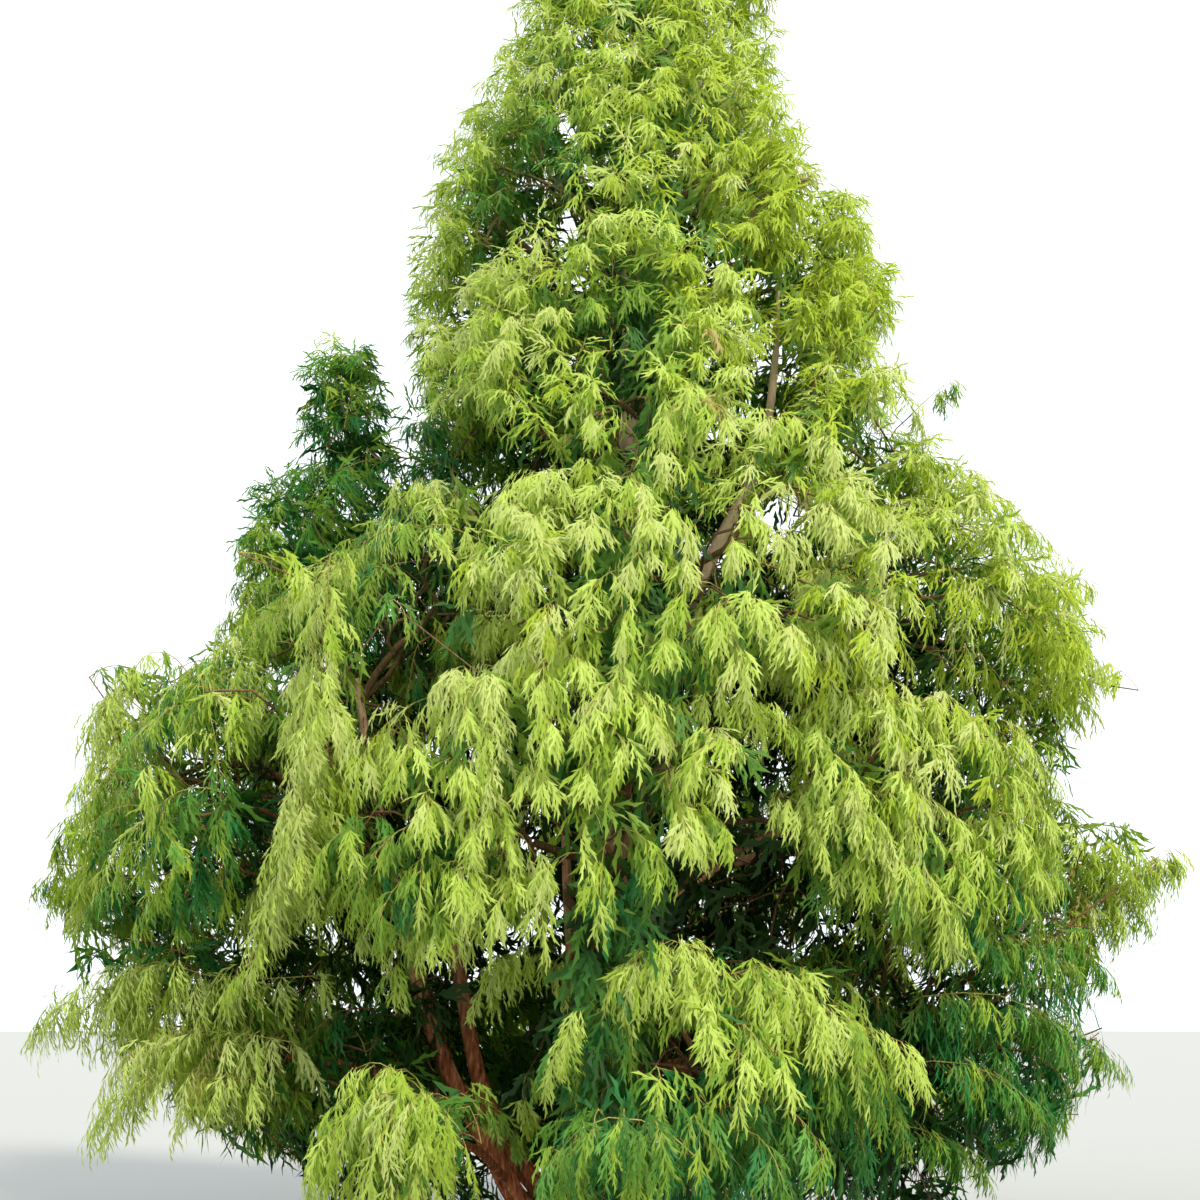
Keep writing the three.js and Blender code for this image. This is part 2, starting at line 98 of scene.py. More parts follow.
# name: (middle, heading, half length, tilt)
SPECIAL = {
    "skirt_left": ([-2.2, -0.78, 1.36], 198, 0.94, 14),
    "skirt_front_left": ([-1.02, -2.25, 0.8], 246, 0.52, 0),
    "skirt_front": ([0.22, -2.35, 0.74], 272, 0.6, -4),
    "skirt_front_right": ([0.82, -1.85, 1.2], 300, 0.9, -2),
    "skirt_right": ([2.18, -0.5, 1.34], 350, 1.1, 19),
    "skirt_back_right": ([1.75, 1.7, 1.3], 44, 1.25, 4),
    "skirt_back": ([-0.3, 2.1, 1.3], 96, 1.2, 4),
    "skirt_back_left": ([-1.95, 1.3, 1.3], 148, 1.15, 8),
}
BOUGHS = [
    ("bough_broad_right", "stem_right", 3.2, "broad_right", 0.04),
    ("bough_broad_back_right", "trunk", 3.5, "broad_back_right", 0.038),
    ("bough_broad_front", "trunk", 3.3, "broad_front", 0.034),
    ("bough_lower_right", "trunk", 2.0, "lower_right", 0.04),
    ("bough_lower_back", "trunk", 2.1, "lower_back", 0.038),
    ("bough_lower_front_right", "trunk", 1.9, "lower_front_right", 0.034),
    ("bough_skirt_left", "stem_left_front", 0.85, "skirt_left", 0.036),
    ("bough_skirt_front_left", "stem_left_front", 0.5, "skirt_front_left", 0.028),
    ("bough_skirt_front", "trunk", 0.55, "skirt_front", 0.028),
    ("bough_skirt_front_right", "trunk", 0.9, "skirt_front_right", 0.036),
    ("bough_skirt_right", "trunk", 1.05, "skirt_right", 0.042),
    ("bough_skirt_back_right", "trunk", 1.2, "skirt_back_right", 0.038),
    ("bough_skirt_back", "trunk", 0.8, "skirt_back", 0.036),
    ("bough_skirt_back_left", "stem_left_back", 0.9, "skirt_back_left", 0.034),
]
# Masses with no bough of their own grow from the stem that runs into or beside them.
STEM_OF = {
    "tip": "trunk", "lobe_top": "stem_left_back", "lobe_middle": "stem_left_back",
    "column_left": "stem_left_front", "spray_right": None, "middle_right": "stem_right",
    "lower_left": "stem_left_front", "broad_front_left": "stem_left_front",
    "broad_back_left": "stem_left_back", "lower_front": "stem_front",
    "lower_back_left": "stem_left_back", "column_far_left": "stem_left_front",
}
# The one place open right through the crown: middle, half sizes (depth, long, short), and its
# rise, turn and slant in degrees.
SKY_GAP = ((1.33, 0, 4.89), (3.6, 0.22, 0.125), 15, 6, 40)

# Open places that the front view looks into. Each is a cone of sight from the viewpoint to a
# limb, or to a place inside the crown: its point, half width, half height, lean in degrees,
# share left out, and how far it goes on behind that point.
VIEWPOINT = np.array([0.1, -12.0, 1.6])
WINDOWS = [
    ((0.22, -0.05, 2.60), 0.11, 0.17, 0, 0.97, 0.3),
    ((0.40, -0.25, 2.86), 0.08, 0.26, -28, 0.9, 0.2),
    ((-0.11, -0.45, 2.28), 0.08, 0.50, 3, 0.92, 0.2),
    ((-0.28, -0.60, 2.62), 0.14, 0.16, 40, 0.9, 0.2),
    ((0.88, -0.3, 4.55), 0.08, 0.50, 25, 0.85, 0.2),
    ((-0.80, -0.05, 1.30), 0.06, 0.36, -13, 0.95, 0.2),
    ((-0.93, -0.33, 1.09), 0.04, 0.16, -14, 0.9, 0.2),
    ((-0.50, -0.2, 0.52), 0.12, 0.44, -40, 0.95, 0.3),
    ((-0.14, -0.8, 7.35), 0.05, 0.09, 0, 0.97, 4.0),
    ((-0.12, -0.8, 6.66), 0.06, 0.14, 20, 0.95, 4.0),
    ((0.20, -0.6, 6.44), 0.04, 0.07, -8, 0.93, 4.0),
    ((0.54, -1.0, 1.3), 0.09, 0.22, 35, 0.85, 0.2),
    ((-1.10, -0.7, 4.00), 0.20, 0.62, 4, 0.5, 0.0),
    ((-0.24, -0.5, 6.95), 0.34, 0.34, 12, 0.6, 0.0),
    ((0.24, -0.5, 5.60), 0.13, 0.55, -8, 0.6, 0.0),
]

# Broad places of painted light and shade in the foliage: middle, half sizes, how much lighter (+) or
# darker (-) the sprays there are painted, how cool (the bluish green of painted shade) or warm (the yellow
# of painted sunlight) they are, and how far in the plumes stand.
REGIONS = [
    ((-1.80, 0.60, 5.30), (1.05, 1.40, 1.45), -0.42, 0.75, 0.0),
    ((-1.16, -0.40, 4.70), (0.42, 1.20, 0.75), -0.70, 0.3, 0.22),
    ((-1.12, -1.50, 3.70), (0.36, 0.80, 0.52), -0.60, 0.2, 0.2),
    ((-2.45, -1.00, 3.40), (0.42, 0.65, 0.40), -0.45, 0.9, 0.0),
    ((-2.55, -1.10, 2.42), (0.95, 1.20, 0.60), -0.28, 0.9, 0.0),
    ((-2.05, -1.70, 2.80), (0.36, 0.60, 0.25), -0.50, 0.2, 0.12),
    ((-1.05, -1.60, 2.30), (0.50, 0.95, 0.72), -0.45, 0.1, 0.15),
    ((-1.15, -1.10, 1.42), (0.75, 1.20, 0.46), -0.55, 0.7, 0.15),
    ((-1.62, -1.50, 0.90), (0.50, 0.90, 0.45), -0.62, 0.5, 0.15),
    ((0.78, -1.80, 2.14), (0.85, 1.10, 0.32), -0.55, 0.5, 0.08),
    ((0.30, -1.50, 1.05), (1.05, 1.20, 0.60), -0.66, 0.4, 0.0),
    ((2.60, -0.70, 1.50), (1.15, 2.30, 0.85), -0.50, 0.95, 0.0),
    ((1.90, -0.70, 0.60), (1.10, 2.00, 0.42), -0.85, 0.4, 0.0),
    ((-2.00, -0.60, 0.55), (1.10, 1.60, 0.35), -0.80, 0.4, 0.0),
    ((0.60, -2.10, 3.50), (0.42, 0.70, 0.27), -0.40, 0.2, 0.12),
    ((-0.30, -1.10, 6.95), (0.55, 0.90, 0.42), -0.62, 0.6, 0.12),
    ((0.74, -1.30, 6.40), (0.22, 0.60, 0.28), -0.45, 0.0, 0.12),
    ((2.35, -1.40, 3.20), (0.32, 0.80, 0.42), -0.35, 0.0, 0.12),
    ((1.45, -2.20, 2.95), (0.24, 0.50, 0.20), -0.42, 0.0, 0.1),
    ((0.25, -1.60, 5.50), (0.26, 0.90, 0.60), -0.45, 0.0, 0.12),
    ((0.70, -1.80, 4.30), (0.35, 0.70, 0.24), -0.45, 0.3, 0.14),
    ((1.45, -0.80, 7.10), (1.30, 1.80, 2.40), 0.16, -0.8, 0.0),
    ((2.95, -0.90, 3.90), (1.20, 1.80, 1.05), 0.16, -0.7, 0.0),
    ((0.30, -2.30, 3.70), (2.00, 0.90, 1.05), 0.14, -0.1, 0.0),
    ((-0.70, -1.50, 6.00), (0.80, 0.90, 0.80), 0.12, 0.0, 0.0),
    ((-2.35, -1.20, 2.20), (1.10, 1.10, 1.00), 0.15, 0.0, 0.0),
    ((-1.10, -1.90, 3.00), (0.80, 0.80, 0.90), 0.14, 0.0, 0.0),
    ((1.75, -1.80, 3.50), (1.30, 1.10, 1.00), 0.28, -0.2, 0.0),
    ((1.40, -1.10, 6.20), (0.80, 1.00, 0.80), 0.22, -0.3, 0.0),
    ((0.85, -2.20, 0.62), (1.20, 0.90, 0.40), -0.30, 0.3, 0.0),
]

# How far the crown reaches at the left and right as the front view sees it, height by height.
REACH = [
    (0.42, -1.68, 2.60), (0.66, -2.68, 3.15), (0.97, -2.86, 3.42), (1.28, -3.36, 3.58),
    (1.60, -3.41, 3.55), (1.92, -3.60, 3.52), (2.24, -3.72, 3.59), (2.44, -3.85, 3.80),
    (2.57, -3.66, 3.98), (2.74, -3.56, 3.84), (2.90, -3.53, 3.46), (3.24, -3.52, 3.42), (3.58, -3.51, 3.64),
    (3.78, -3.36, 3.65), (3.92, -2.90, 3.60), (4.27, -2.56, 3.55), (4.62, -2.41, 3.38),
    (4.97, -2.28, 3.06), (5.34, -1.90, 2.74), (5.60, -1.30, 2.30), (6.07, -1.27, 2.22),
    (6.45, -1.30, 2.31), (6.83, -1.33, 2.21), (7.21, -1.26, 2.00), (7.60, -1.08, 1.62),
    (7.99, -0.96, 1.52), (8.39, -0.76, 1.46), (8.80, -0.60, 1.42), (9.40, -0.42, 1.26),
    (10.2, -0.10, 0.92), (10.9, 0.25, 0.66),
]

# The reach of the crown from the leader at the right, back, left and front, by height: the
# plumes of the tiers stand near it, so that the tiers close up into one rounded crown.
HULL = [
    (10.7, 0.1, 0.1, 0.1, 0.1), (10.35, 0.4, 0.38, 0.38, 0.4), (9.8, 0.68, 0.66, 0.64, 0.68),
    (8.8, 1.0, 0.98, 0.95, 1.0), (8.0, 1.12, 1.25, 1.24, 1.3), (7.65, 1.22, 1.42, 1.38, 1.46),
    (7.3, 1.62, 1.56, 1.52, 1.62), (6.45, 1.92, 1.82, 1.6, 1.88), (5.75, 1.8, 1.98, 1.5, 2.02),
    (5.3, 2.42, 2.2, 1.62, 2.22), (4.95, 2.52, 2.45, 1.8, 2.4), (4.3, 3.14, 2.8, 2.3, 2.66),
    (3.6, 3.32, 3.05, 3.2, 2.8), (2.9, 3.12, 3.2, 3.58, 2.88), (2.2, 3.1, 3.2, 3.7, 2.8),
    (1.6, 3.05, 3.1, 3.4, 2.7),
]

# Hanging fringes of their own: owner, line of the bough that carries them, fringe length, and tone, which is the
# painted light and shade of their sprays.
GARLANDS = [
    ("skirt_left", [[-1.57, -1.1, 1.74], [-1.86, -1.25, 1.72], [-2.18, -1.3, 1.74], [-2.48, -1.3, 1.82], [-2.77, -1.25, 1.74], [-3.05, -1.2, 1.62]], 0.34, 0.98),
    ("skirt_left", [[-1.66, -1.3, 1.36], [-2.02, -1.45, 1.42], [-2.36, -1.4, 1.42], [-2.62, -1.35, 1.3]], 0.42, 0.98),
    ("skirt_left", [[-2.55, -1.1, 1.56], [-2.9, -1.12, 1.62], [-3.16, -1.05, 1.54]], 0.32, 0.94),
    ("column_left", [[-1.46, -1.9, 4.12], [-1.46, -2.0, 3.75], [-1.45, -2.05, 3.3], [-1.51, -2.05, 2.99], [-1.54, -2.05, 2.68], [-1.6, -2.0, 2.35], [-1.64, -1.95, 2.1]], 0.31, 1.00),
    ("column_left", [[-1.6, -2.0, 2.45], [-1.68, -1.95, 2.1], [-1.78, -1.9, 1.85], [-1.92, -1.8, 1.68]], 0.20, 0.80),
    ("column_far_left", [[-2.78, -0.8, 3.38], [-2.90, -0.86, 3.5], [-2.98, -0.92, 3.48], [-2.92, -1.0, 3.28], [-2.82, -1.05, 3.07], [-2.62, -1.05, 2.88], [-2.42, -1.0, 2.78]], 0.22, 1.04),
    ("lower_left", [[-2.4, -1.0, 2.84], [-2.66, -1.08, 2.9], [-2.96, -1.05, 2.8]], 0.24, 0.90),
    ("lower_left", [[-1.72, -1.3, 3.5], [-2.05, -1.35, 3.57], [-2.36, -1.3, 3.58]], 0.22, 0.78),
    ("broad_front_left", [[-0.52, -2.4, 3.3], [-0.5, -2.5, 2.95], [-0.46, -2.5, 2.62], [-0.5, -2.45, 2.3], [-0.58, -2.4, 2.05]], 0.24, 0.88),
    ("lower_front", [[-0.46, -2.35, 2.44], [-0.34, -2.45, 2.47], [-0.24, -2.45, 2.34]], 0.22, 0.90),
    ("lower_left", [[-1.3, -1.6, 2.4], [-1.33, -1.7, 2.24], [-1.26, -1.75, 2.0]], 0.18, 0.80),
    ("lower_left", [[-1.08, -1.6, 2.35], [-1.05, -1.7, 2.05], [-1.02, -1.75, 1.72]], 0.20, 0.78),
    ("skirt_front_left", [[-0.62, -2.2, 0.92], [-0.75, -2.3, 1.08], [-0.94, -2.35, 1.14], [-1.15, -2.3, 1.07], [-1.3, -2.25, 0.86]], 0.42, 0.76),
    ("skirt_front_left", [[-0.94, -2.1, 1.2], [-1.09, -2.2, 1.28], [-1.2, -2.2, 1.24]], 0.14, 0.80),
    ("lower_front", [[0.0, -1.2, 1.66], [-0.12, -1.3, 1.86], [-0.31, -1.38, 1.91], [-0.46, -1.38, 1.84], [-0.54, -1.35, 1.7]], 0.22, 0.84),
    ("skirt_front_right", [[0.78, -2.1, 1.74], [0.64, -2.2, 1.86], [0.48, -2.25, 1.91], [0.31, -2.25, 1.83], [0.1, -2.25, 1.65], [-0.1, -2.2, 1.38]], 0.36, 0.84),
    ("skirt_front_right", [[0.74, -2.0, 1.72], [0.98, -2.15, 1.78], [1.16, -2.2, 1.67], [1.3, -2.2, 1.54], [1.48, -2.2, 1.47], [1.71, -2.15, 1.38]], 0.34, 0.84),
    ("skirt_front_right", [[0.82, -1.9, 1.3], [1.11, -2.1, 1.36], [1.38, -2.1, 1.32], [1.56, -2.05, 1.18]], 0.42, 0.36),
    ("skirt_front_right", [[0.6, -1.9, 1.04], [0.84, -2.1, 1.04], [1.08, -2.1, 0.95]], 0.40, 0.26),
    ("skirt_front", [[0.57, -2.6, 0.84], [0.42, -2.75, 0.97], [0.22, -2.8, 1.04], [0.03, -2.78, 1.0], [-0.12, -2.7, 0.85]], 0.34, 0.32),
    ("lower_front_right", [[1.1, -2.0, 2.7], [1.35, -2.2, 2.8], [1.58, -2.25, 2.72], [1.73, -2.2, 2.58]], 0.24, 0.84),
    ("lower_front_right", [[1.3, -2.2, 2.6], [1.46, -2.35, 2.62], [1.58, -2.35, 2.48]], 0.24, 0.92),
    ("lower_front_right", [[1.48, -2.15, 2.36], [1.7, -2.25, 2.36], [1.86, -2.25, 2.22], [1.94, -2.2, 2.06]], 0.30, 0.84),
    ("spray_right", [[3.2, -0.3, 2.2], [3.39, -0.25, 2.33], [3.62, -0.25, 2.46], [3.82, -0.25, 2.54]], 0.20, 0.88),
    ("spray_right", [[2.87, -0.4, 2.3], [3.1, -0.42, 2.42], [3.34, -0.4, 2.45]], 0.16, 0.80),
    ("spray_right", [[3.0, -0.36, 2.04], [3.26, -0.36, 2.2], [3.5, -0.34, 2.32], [3.74, -0.3, 2.44]], 0.26, 0.74),
    ("spray_right", [[3.42, -0.2, 2.36], [3.6, -0.2, 2.47], [3.8, -0.22, 2.56]], 0.14, 0.94),
    ("spray_right", [[2.9, -0.42, 1.9], [3.12, -0.42, 2.04], [3.34, -0.38, 2.14], [3.52, -0.36, 2.18]], 0.22, 0.60),
    ("spray_right", [[2.72, -0.45, 1.93], [3.02, -0.45, 2.12], [3.32, -0.4, 2.30], [3.6, -0.35, 2.42]], 0.24, 0.84),
    ("lower_left", [[-3.02, -0.3, 2.18], [-3.24, -0.32, 2.32], [-3.46, -0.3, 2.38]], 0.22, 0.56),
    ("middle_right", [[2.3, 0.0, 5.62], [2.45, 0.0, 5.76], [2.56, 0.0, 5.84]], 0.10, 0.50),
    ("broad_front_left", [[-0.62, -1.6, 4.28], [-0.85, -1.7, 4.35], [-1.02, -1.72, 4.28]], 0.18, 0.88),
    ("middle_left", [[-0.76, -1.4, 4.6], [-0.94, -1.5, 4.69], [-1.08, -1.5, 4.66]], 0.16, 0.88),
    ("skirt_right", [[1.75, -1.25, 1.98], [2.15, -1.4, 2.02], [2.52, -1.4, 1.94], [2.86, -1.3, 1.78]], 0.26, 0.44),
    ("skirt_right", [[1.95, -1.4, 1.62], [2.3, -1.55, 1.64], [2.58, -1.5, 1.54], [2.82, -1.4, 1.36]], 0.24, 0.42),
    ("skirt_right", [[1.8, -1.35, 1.24], [2.12, -1.5, 1.26], [2.38, -1.45, 1.16], [2.6, -1.35, 1.0]], 0.24, 0.42),
    ("skirt_right", [[1.6, -1.2, 0.9], [1.86, -1.35, 0.9], [2.08, -1.3, 0.82], [2.26, -1.2, 0.7]], 0.22, 0.38),
    ("skirt_right", [[2.55, -0.7, 1.98], [2.8, -0.75, 2.0], [3.04, -0.7, 1.92], [3.22, -0.65, 1.78]], 0.20, 0.50),
    ("skirt_right", [[2.4, -1.0, 1.46], [2.68, -1.05, 1.5], [2.94, -1.0, 1.42], [3.16, -0.95, 1.28]], 0.20, 0.46),
    ("skirt_front_left", [[-0.86, -0.75, 1.02], [-0.72, -0.85, 1.04], [-0.56, -0.9, 0.98], [-0.42, -0.9, 0.86]], 0.16, 0.58),
    ("lower_front", [[-0.34, -0.9, 1.16], [-0.36, -0.95, 1.06], [-0.32, -0.95, 0.96]], 0.12, 0.74),
    ("broad_front", [[0.58, -2.05, 3.62], [0.86, -2.15, 3.72], [1.14, -2.15, 3.68], [1.4, -2.1, 3.54]], 0.26, 0.86),
    ("broad_front", [[0.40, -2.1, 3.16], [0.66, -2.2, 3.26], [0.92, -2.2, 3.22], [1.14, -2.15, 3.08]], 0.26, 0.80),
    ("lower_front_right", [[1.25, -1.9, 3.22], [1.5, -2.05, 3.3], [1.76, -2.05, 3.24], [1.98, -2.0, 3.08]], 0.24, 0.80),
    ("skirt_left", [[-1.85, -1.5, 1.16], [-2.2, -1.55, 1.2], [-2.5, -1.5, 1.14], [-2.7, -1.4, 1.0]], 0.36, 0.92),
]


# Shaded foliage behind the stems and under the skirts: the mass it belongs to, middle, half
# sizes and how many branch ends it has.
DARK_FILL = [
    ("skirt_back", (-0.30, 0.95, 0.95), (1.30, 0.45, 0.75), 60),
    ("skirt_back_left", (-1.30, 0.55, 0.80), (0.55, 0.40, 0.55), 26),
    ("skirt_left", (-1.75, -0.35, 0.75), (0.60, 0.55, 0.40), 30),
    ("skirt_right", (1.60, -0.50, 0.70), (0.80, 0.80, 0.45), 40),
    ("lower_back", (0.10, 0.90, 2.40), (0.80, 0.40, 0.70), 30),
    ("broad_back_left", (-0.90, 0.70, 3.90), (0.60, 0.40, 0.70), 24),
    ("lower_front", (0.20, -0.55, 1.70), (0.38, 0.22, 0.50), 26),
    ("lower_back_left", (-0.95, 0.85, 1.90), (0.70, 0.45, 0.70), 40),
    ("lower_right", (1.45, 0.20, 1.95), (0.80, 0.60, 0.50), 40),
    ("skirt_back_right", (1.15, 0.95, 1.30), (0.80, 0.40, 0.60), 34),
    ("broad_front", (0.25, -0.60, 3.85), (0.50, 0.28, 1.00), 34),
    ("middle_front", (0.32, -0.50, 5.60), (0.40, 0.25, 0.90), 26),
    ("upper_front", (0.38, -0.40, 7.00), (0.35, 0.20, 0.70), 16),
    ("lower_front_right", (0.95, -0.90, 1.95), (0.50, 0.40, 0.30), 26),
    ("lower_front_right", (0.90, -0.80, 2.50), (0.50, 0.35, 0.30), 24),
    ("lower_front", (0.28, -0.50, 2.15), (0.28, 0.22, 0.24), 16),
    ("broad_front", (0.30, -0.45, 3.15), (0.26, 0.20, 0.24), 14),
    ("skirt_front_right", (0.60, -0.90, 0.75), (0.60, 0.35, 0.35), 22),
    ("lower_left", (-1.00, -0.62, 1.48), (0.16, 0.12, 0.32), 18),
    ("peak_front", (0.44, -0.28, 9.30), (0.20, 0.10, 0.60), 22),
    ("skirt_left", (-1.20, -0.60, 0.95), (0.24, 0.20, 0.30), 16),
    ("skirt_right", (2.40, -0.60, 1.40), (0.80, 0.60, 0.55), 34),
    ("skirt_left", (-2.30, -0.50, 1.60), (0.70, 0.50, 0.35), 24),
    ("middle_left", (-1.15, 0.15, 5.05), (0.28, 0.25, 0.30), 16),
    ("broad_right", (2.50, 0.05, 3.70), (0.35, 0.30, 0.35), 22),
    ("broad_right", (1.02, 0.00, 3.25), (0.30, 0.25, 0.25), 16),
    ("broad_right", (3.05, 0.00, 3.40), (0.25, 0.30, 0.30), 14),
    ("lower_left", (-2.80, -0.30, 2.12), (0.42, 0.30, 0.28), 26),
    ("skirt_left", (-2.70, -0.40, 1.86), (0.45, 0.30, 0.22), 24),
    ("lower_back_left", (-1.90, 0.05, 1.95), (0.30, 0.25, 0.30), 16),
    ("lower_front_right", (0.97, -0.55, 2.60), (0.38, 0.20, 0.28), 24),
    ("upper_front", (0.16, 0.05, 6.10), (0.20, 0.20, 0.25), 10),
    ("lower_right", (3.05, 0.00, 2.60), (0.30, 0.30, 0.30), 16),
    ("skirt_right", (2.80, -0.60, 1.50), (0.60, 0.40, 0.62), 58),
    ("high_front_right", (0.42, -0.32, 8.40), (0.22, 0.10, 0.45), 18),
    ("broad_front", (0.78, -0.36, 4.02), (0.26, 0.22, 0.30), 26),
]

# Small bare branches that show in the open places, and their radius at the start.
TWIG_LINES = [
    ([[-0.10, -0.48, 2.58], [-0.18, -0.58, 2.71], [-0.28, -0.62, 2.81], [-0.38, -0.66, 2.92]], 0.010),
    ([[-0.10, -0.46, 2.41], [-0.18, -0.52, 2.47], [-0.27, -0.56, 2.49]], 0.007),
    ([[0.20, -0.02, 2.30], [0.31, -0.18, 2.55], [0.36, -0.26, 2.75], [0.40, -0.32, 2.90], [0.49, -0.40, 3.07], [0.57, -0.50, 3.24]], 0.016),
    ([[0.36, -0.25, 2.72], [0.46, -0.30, 2.80], [0.52, -0.34, 2.87], [0.60, -0.40, 3.06]], 0.010),
    ([[0.86, -0.28, 4.42], [1.00, -0.27, 4.40], [1.18, -0.25, 4.49], [1.39, -0.25, 4.68], [1.52, -0.25, 4.80]], 0.008),
    ([[-1.20, -0.60, 2.86], [-1.09, -1.10, 2.80], [-1.02, -1.30, 2.67], [-0.91, -1.34, 2.55], [-0.79, -1.34, 2.41]], 0.009),
    ([[2.70, -0.50, 1.80], [2.86, -0.55, 1.94], [3.02, -0.58, 2.05], [3.18, -0.58, 2.17], [3.36, -0.56, 2.28]], 0.014),
    ([[0.10, -0.30, 0.98], [0.24, -0.62, 1.02], [0.40, -0.90, 1.10], [0.47, -0.94, 1.22], [0.58, -1.00, 1.42], [0.62, -1.10, 1.56]], 0.024),
]


# ---------------------------------------------------------------- small helpers
def unit(v):
    return v / np.maximum(np.linalg.norm(v, axis=-1, keepdims=True), 1e-9)


def hash11(i, s):
    v = math.sin(i * 127.1 + s * 311.7) * 43758.5453
    return v - math.floor(v)


def lattice(ix, iy, iz, seed):
    h = (ix * 374761393 + iy * 668265263 + iz * 2147483647 + seed * 1274126177) & 0x7FFFFFFF
    h = ((h ^ (h >> 13)) * 1274126177) & 0x7FFFFFFF
    return ((h ^ (h >> 16)) & 0xFFFF) / 32767.5 - 1.0


def noise(p, seed=0):
    """Smooth value noise from -1 to 1 at points p (N, 3)."""
    p = np.asarray(p, float)
    i = np.floor(p).astype(np.int64)
    f = p - i
    f = f * f * (3 - 2 * f)
    out = 0.0
    for dx in (0, 1):
        for dy in (0, 1):
            for dz in (0, 1):
                w = (f[..., 0] if dx else 1 - f[..., 0]) * (f[..., 1] if dy else 1 - f[..., 1]) * (f[..., 2] if dz else 1 - f[..., 2])
                out = out + w * lattice(i[..., 0] + dx, i[..., 1] + dy, i[..., 2] + dz, seed)
    return out


def catmull(points, t):
    """The centripetal curve through points at t from 0 to 1."""
    p = np.array(points, float)
    n = len(p)
    s = np.clip(np.asarray(t, float), 0, 1) * (n - 1)
    k = np.minimum(np.floor(s).astype(int), n - 2)
    w = s - k
    ext = np.vstack([2 * p[0] - p[1], p, 2 * p[-1] - p[-2]])
    p0, p1, p2, p3 = ext[k], ext[k + 1], ext[k + 2], ext[k + 3]
    d0 = np.maximum(np.sum((p0 - p1) ** 2, -1) ** 0.25, 1e-4)
    d1 = np.maximum(np.sum((p1 - p2) ** 2, -1) ** 0.25, 1e-4)
    d2 = np.maximum(np.sum((p2 - p3) ** 2, -1) ** 0.25, 1e-4)
    d0, d1, d2, w = (a[..., None] for a in (d0, d1, d2, w))
    t1 = ((p1 - p0) / d0 - (p2 - p0) / (d0 + d1) + (p2 - p1) / d1) * d1
    t2 = ((p2 - p1) / d1 - (p3 - p1) / (d1 + d2) + (p3 - p2) / d2) * d1
    c2 = -3 * p1 + 3 * p2 - 2 * t1 - t2
    c3 = 2 * p1 - 2 * p2 + t1 + t2
    return p1 + t1 * w + c2 * w ** 2 + c3 * w ** 3


def along(values, t):
    v = np.array(values, float)
    return np.interp(np.asarray(t) * (len(v) - 1), np.arange(len(v)), v)


def stem_at_height(name, z):
    line = STEMS[name][0]
    lo, hi = 0.0, 1.0
    for _ in range(40):
        mid = (lo + hi) / 2
        if catmull(line, mid)[2] < z:
            lo = mid
        else:
            hi = mid
    return catmull(line, (lo + hi) / 2)


def mesh_object(name, co, faces, mats, index=None, smooth=False):
    """One triangle mesh from arrays."""
    me = bpy.data.meshes.new(name)
    n = len(faces)
    me.vertices.add(len(co))
    me.vertices.foreach_set("co", np.ascontiguousarray(co, np.float32).ravel())
    me.loops.add(n * 3)
    me.loops.foreach_set("vertex_index", np.ascontiguousarray(faces, np.int32).ravel())
    me.polygons.add(n)
    me.polygons.foreach_set("loop_start", np.arange(0, n * 3, 3, dtype=np.int32))
    me.update(calc_edges=True)
    for m in mats:
        me.materials.append(m)
    if index is not None:
        me.polygons.foreach_set("material_index", np.ascontiguousarray(index, np.int32))
    me.polygons.foreach_set("use_smooth", np.full(n, smooth, bool))
    o = bpy.data.objects.new(name, me)
    bpy.context.scene.collection.objects.link(o)
    return o


def tangents(paths):
    t = np.empty_like(paths)
    t[:, 1:-1] = paths[:, 2:] - paths[:, :-2]
    t[:, 0] = paths[:, 1] - paths[:, 0]
    t[:, -1] = paths[:, -1] - paths[:, -2]
    return unit(t)


def prisms(paths, radii, sides, rng):
    """Thin tapering tubes along many equal-length paths (N, K, 3): vertices and triangles."""
    n, k, _ = paths.shape
    t = tangents(paths)
    ref = unit(rng.normal(size=(n, 1, 3)))
    u = np.cross(t, ref)
    u = unit(u)
    v = np.cross(t, u)
    a = np.arange(sides) * 2 * math.pi / sides
    co = (paths[:, :, None] + radii[:, :, None, None] * (u[:, :, None] * np.cos(a)[None, None, :, None] + v[:, :, None] * np.sin(a)[None, None, :, None]))
    co = co.reshape(-1, 3)
    i, j, s = np.meshgrid(np.arange(n), np.arange(k - 1), np.arange(sides), indexing="ij")
    base = (i * k + j) * sides
    s2 = (s + 1) % sides
    f1 = np.stack([base + s, base + s2, base + sides + s2], -1).reshape(-1, 3)
    f2 = np.stack([base + s, base + sides + s2, base + sides + s], -1).reshape(-1, 3)
    return co, np.concatenate([f1, f2])


def grow(start, heading, length, pull, steps, power=1.0):
    """Paths that start along heading and bend down under gravity: (N, steps + 1, 3)."""
    pts = [start]
    p = start
    for k in range(steps):
        s = (k + 0.5) / steps
        d = unit(heading + (pull * s ** power)[:, None] * DOWN)
        p = p + d * (length / steps)[:, None]
        pts.append(p)
    return np.stack(pts, 1)


# ---------------------------------------------------------------- materials
def srgb(r, g, b):
    return tuple((c / 255 / 12.92) if c / 255 <= 0.04045 else ((c / 255 + 0.055) / 1.055) ** 2.4 for c in (r, g, b)) + (1.0,)


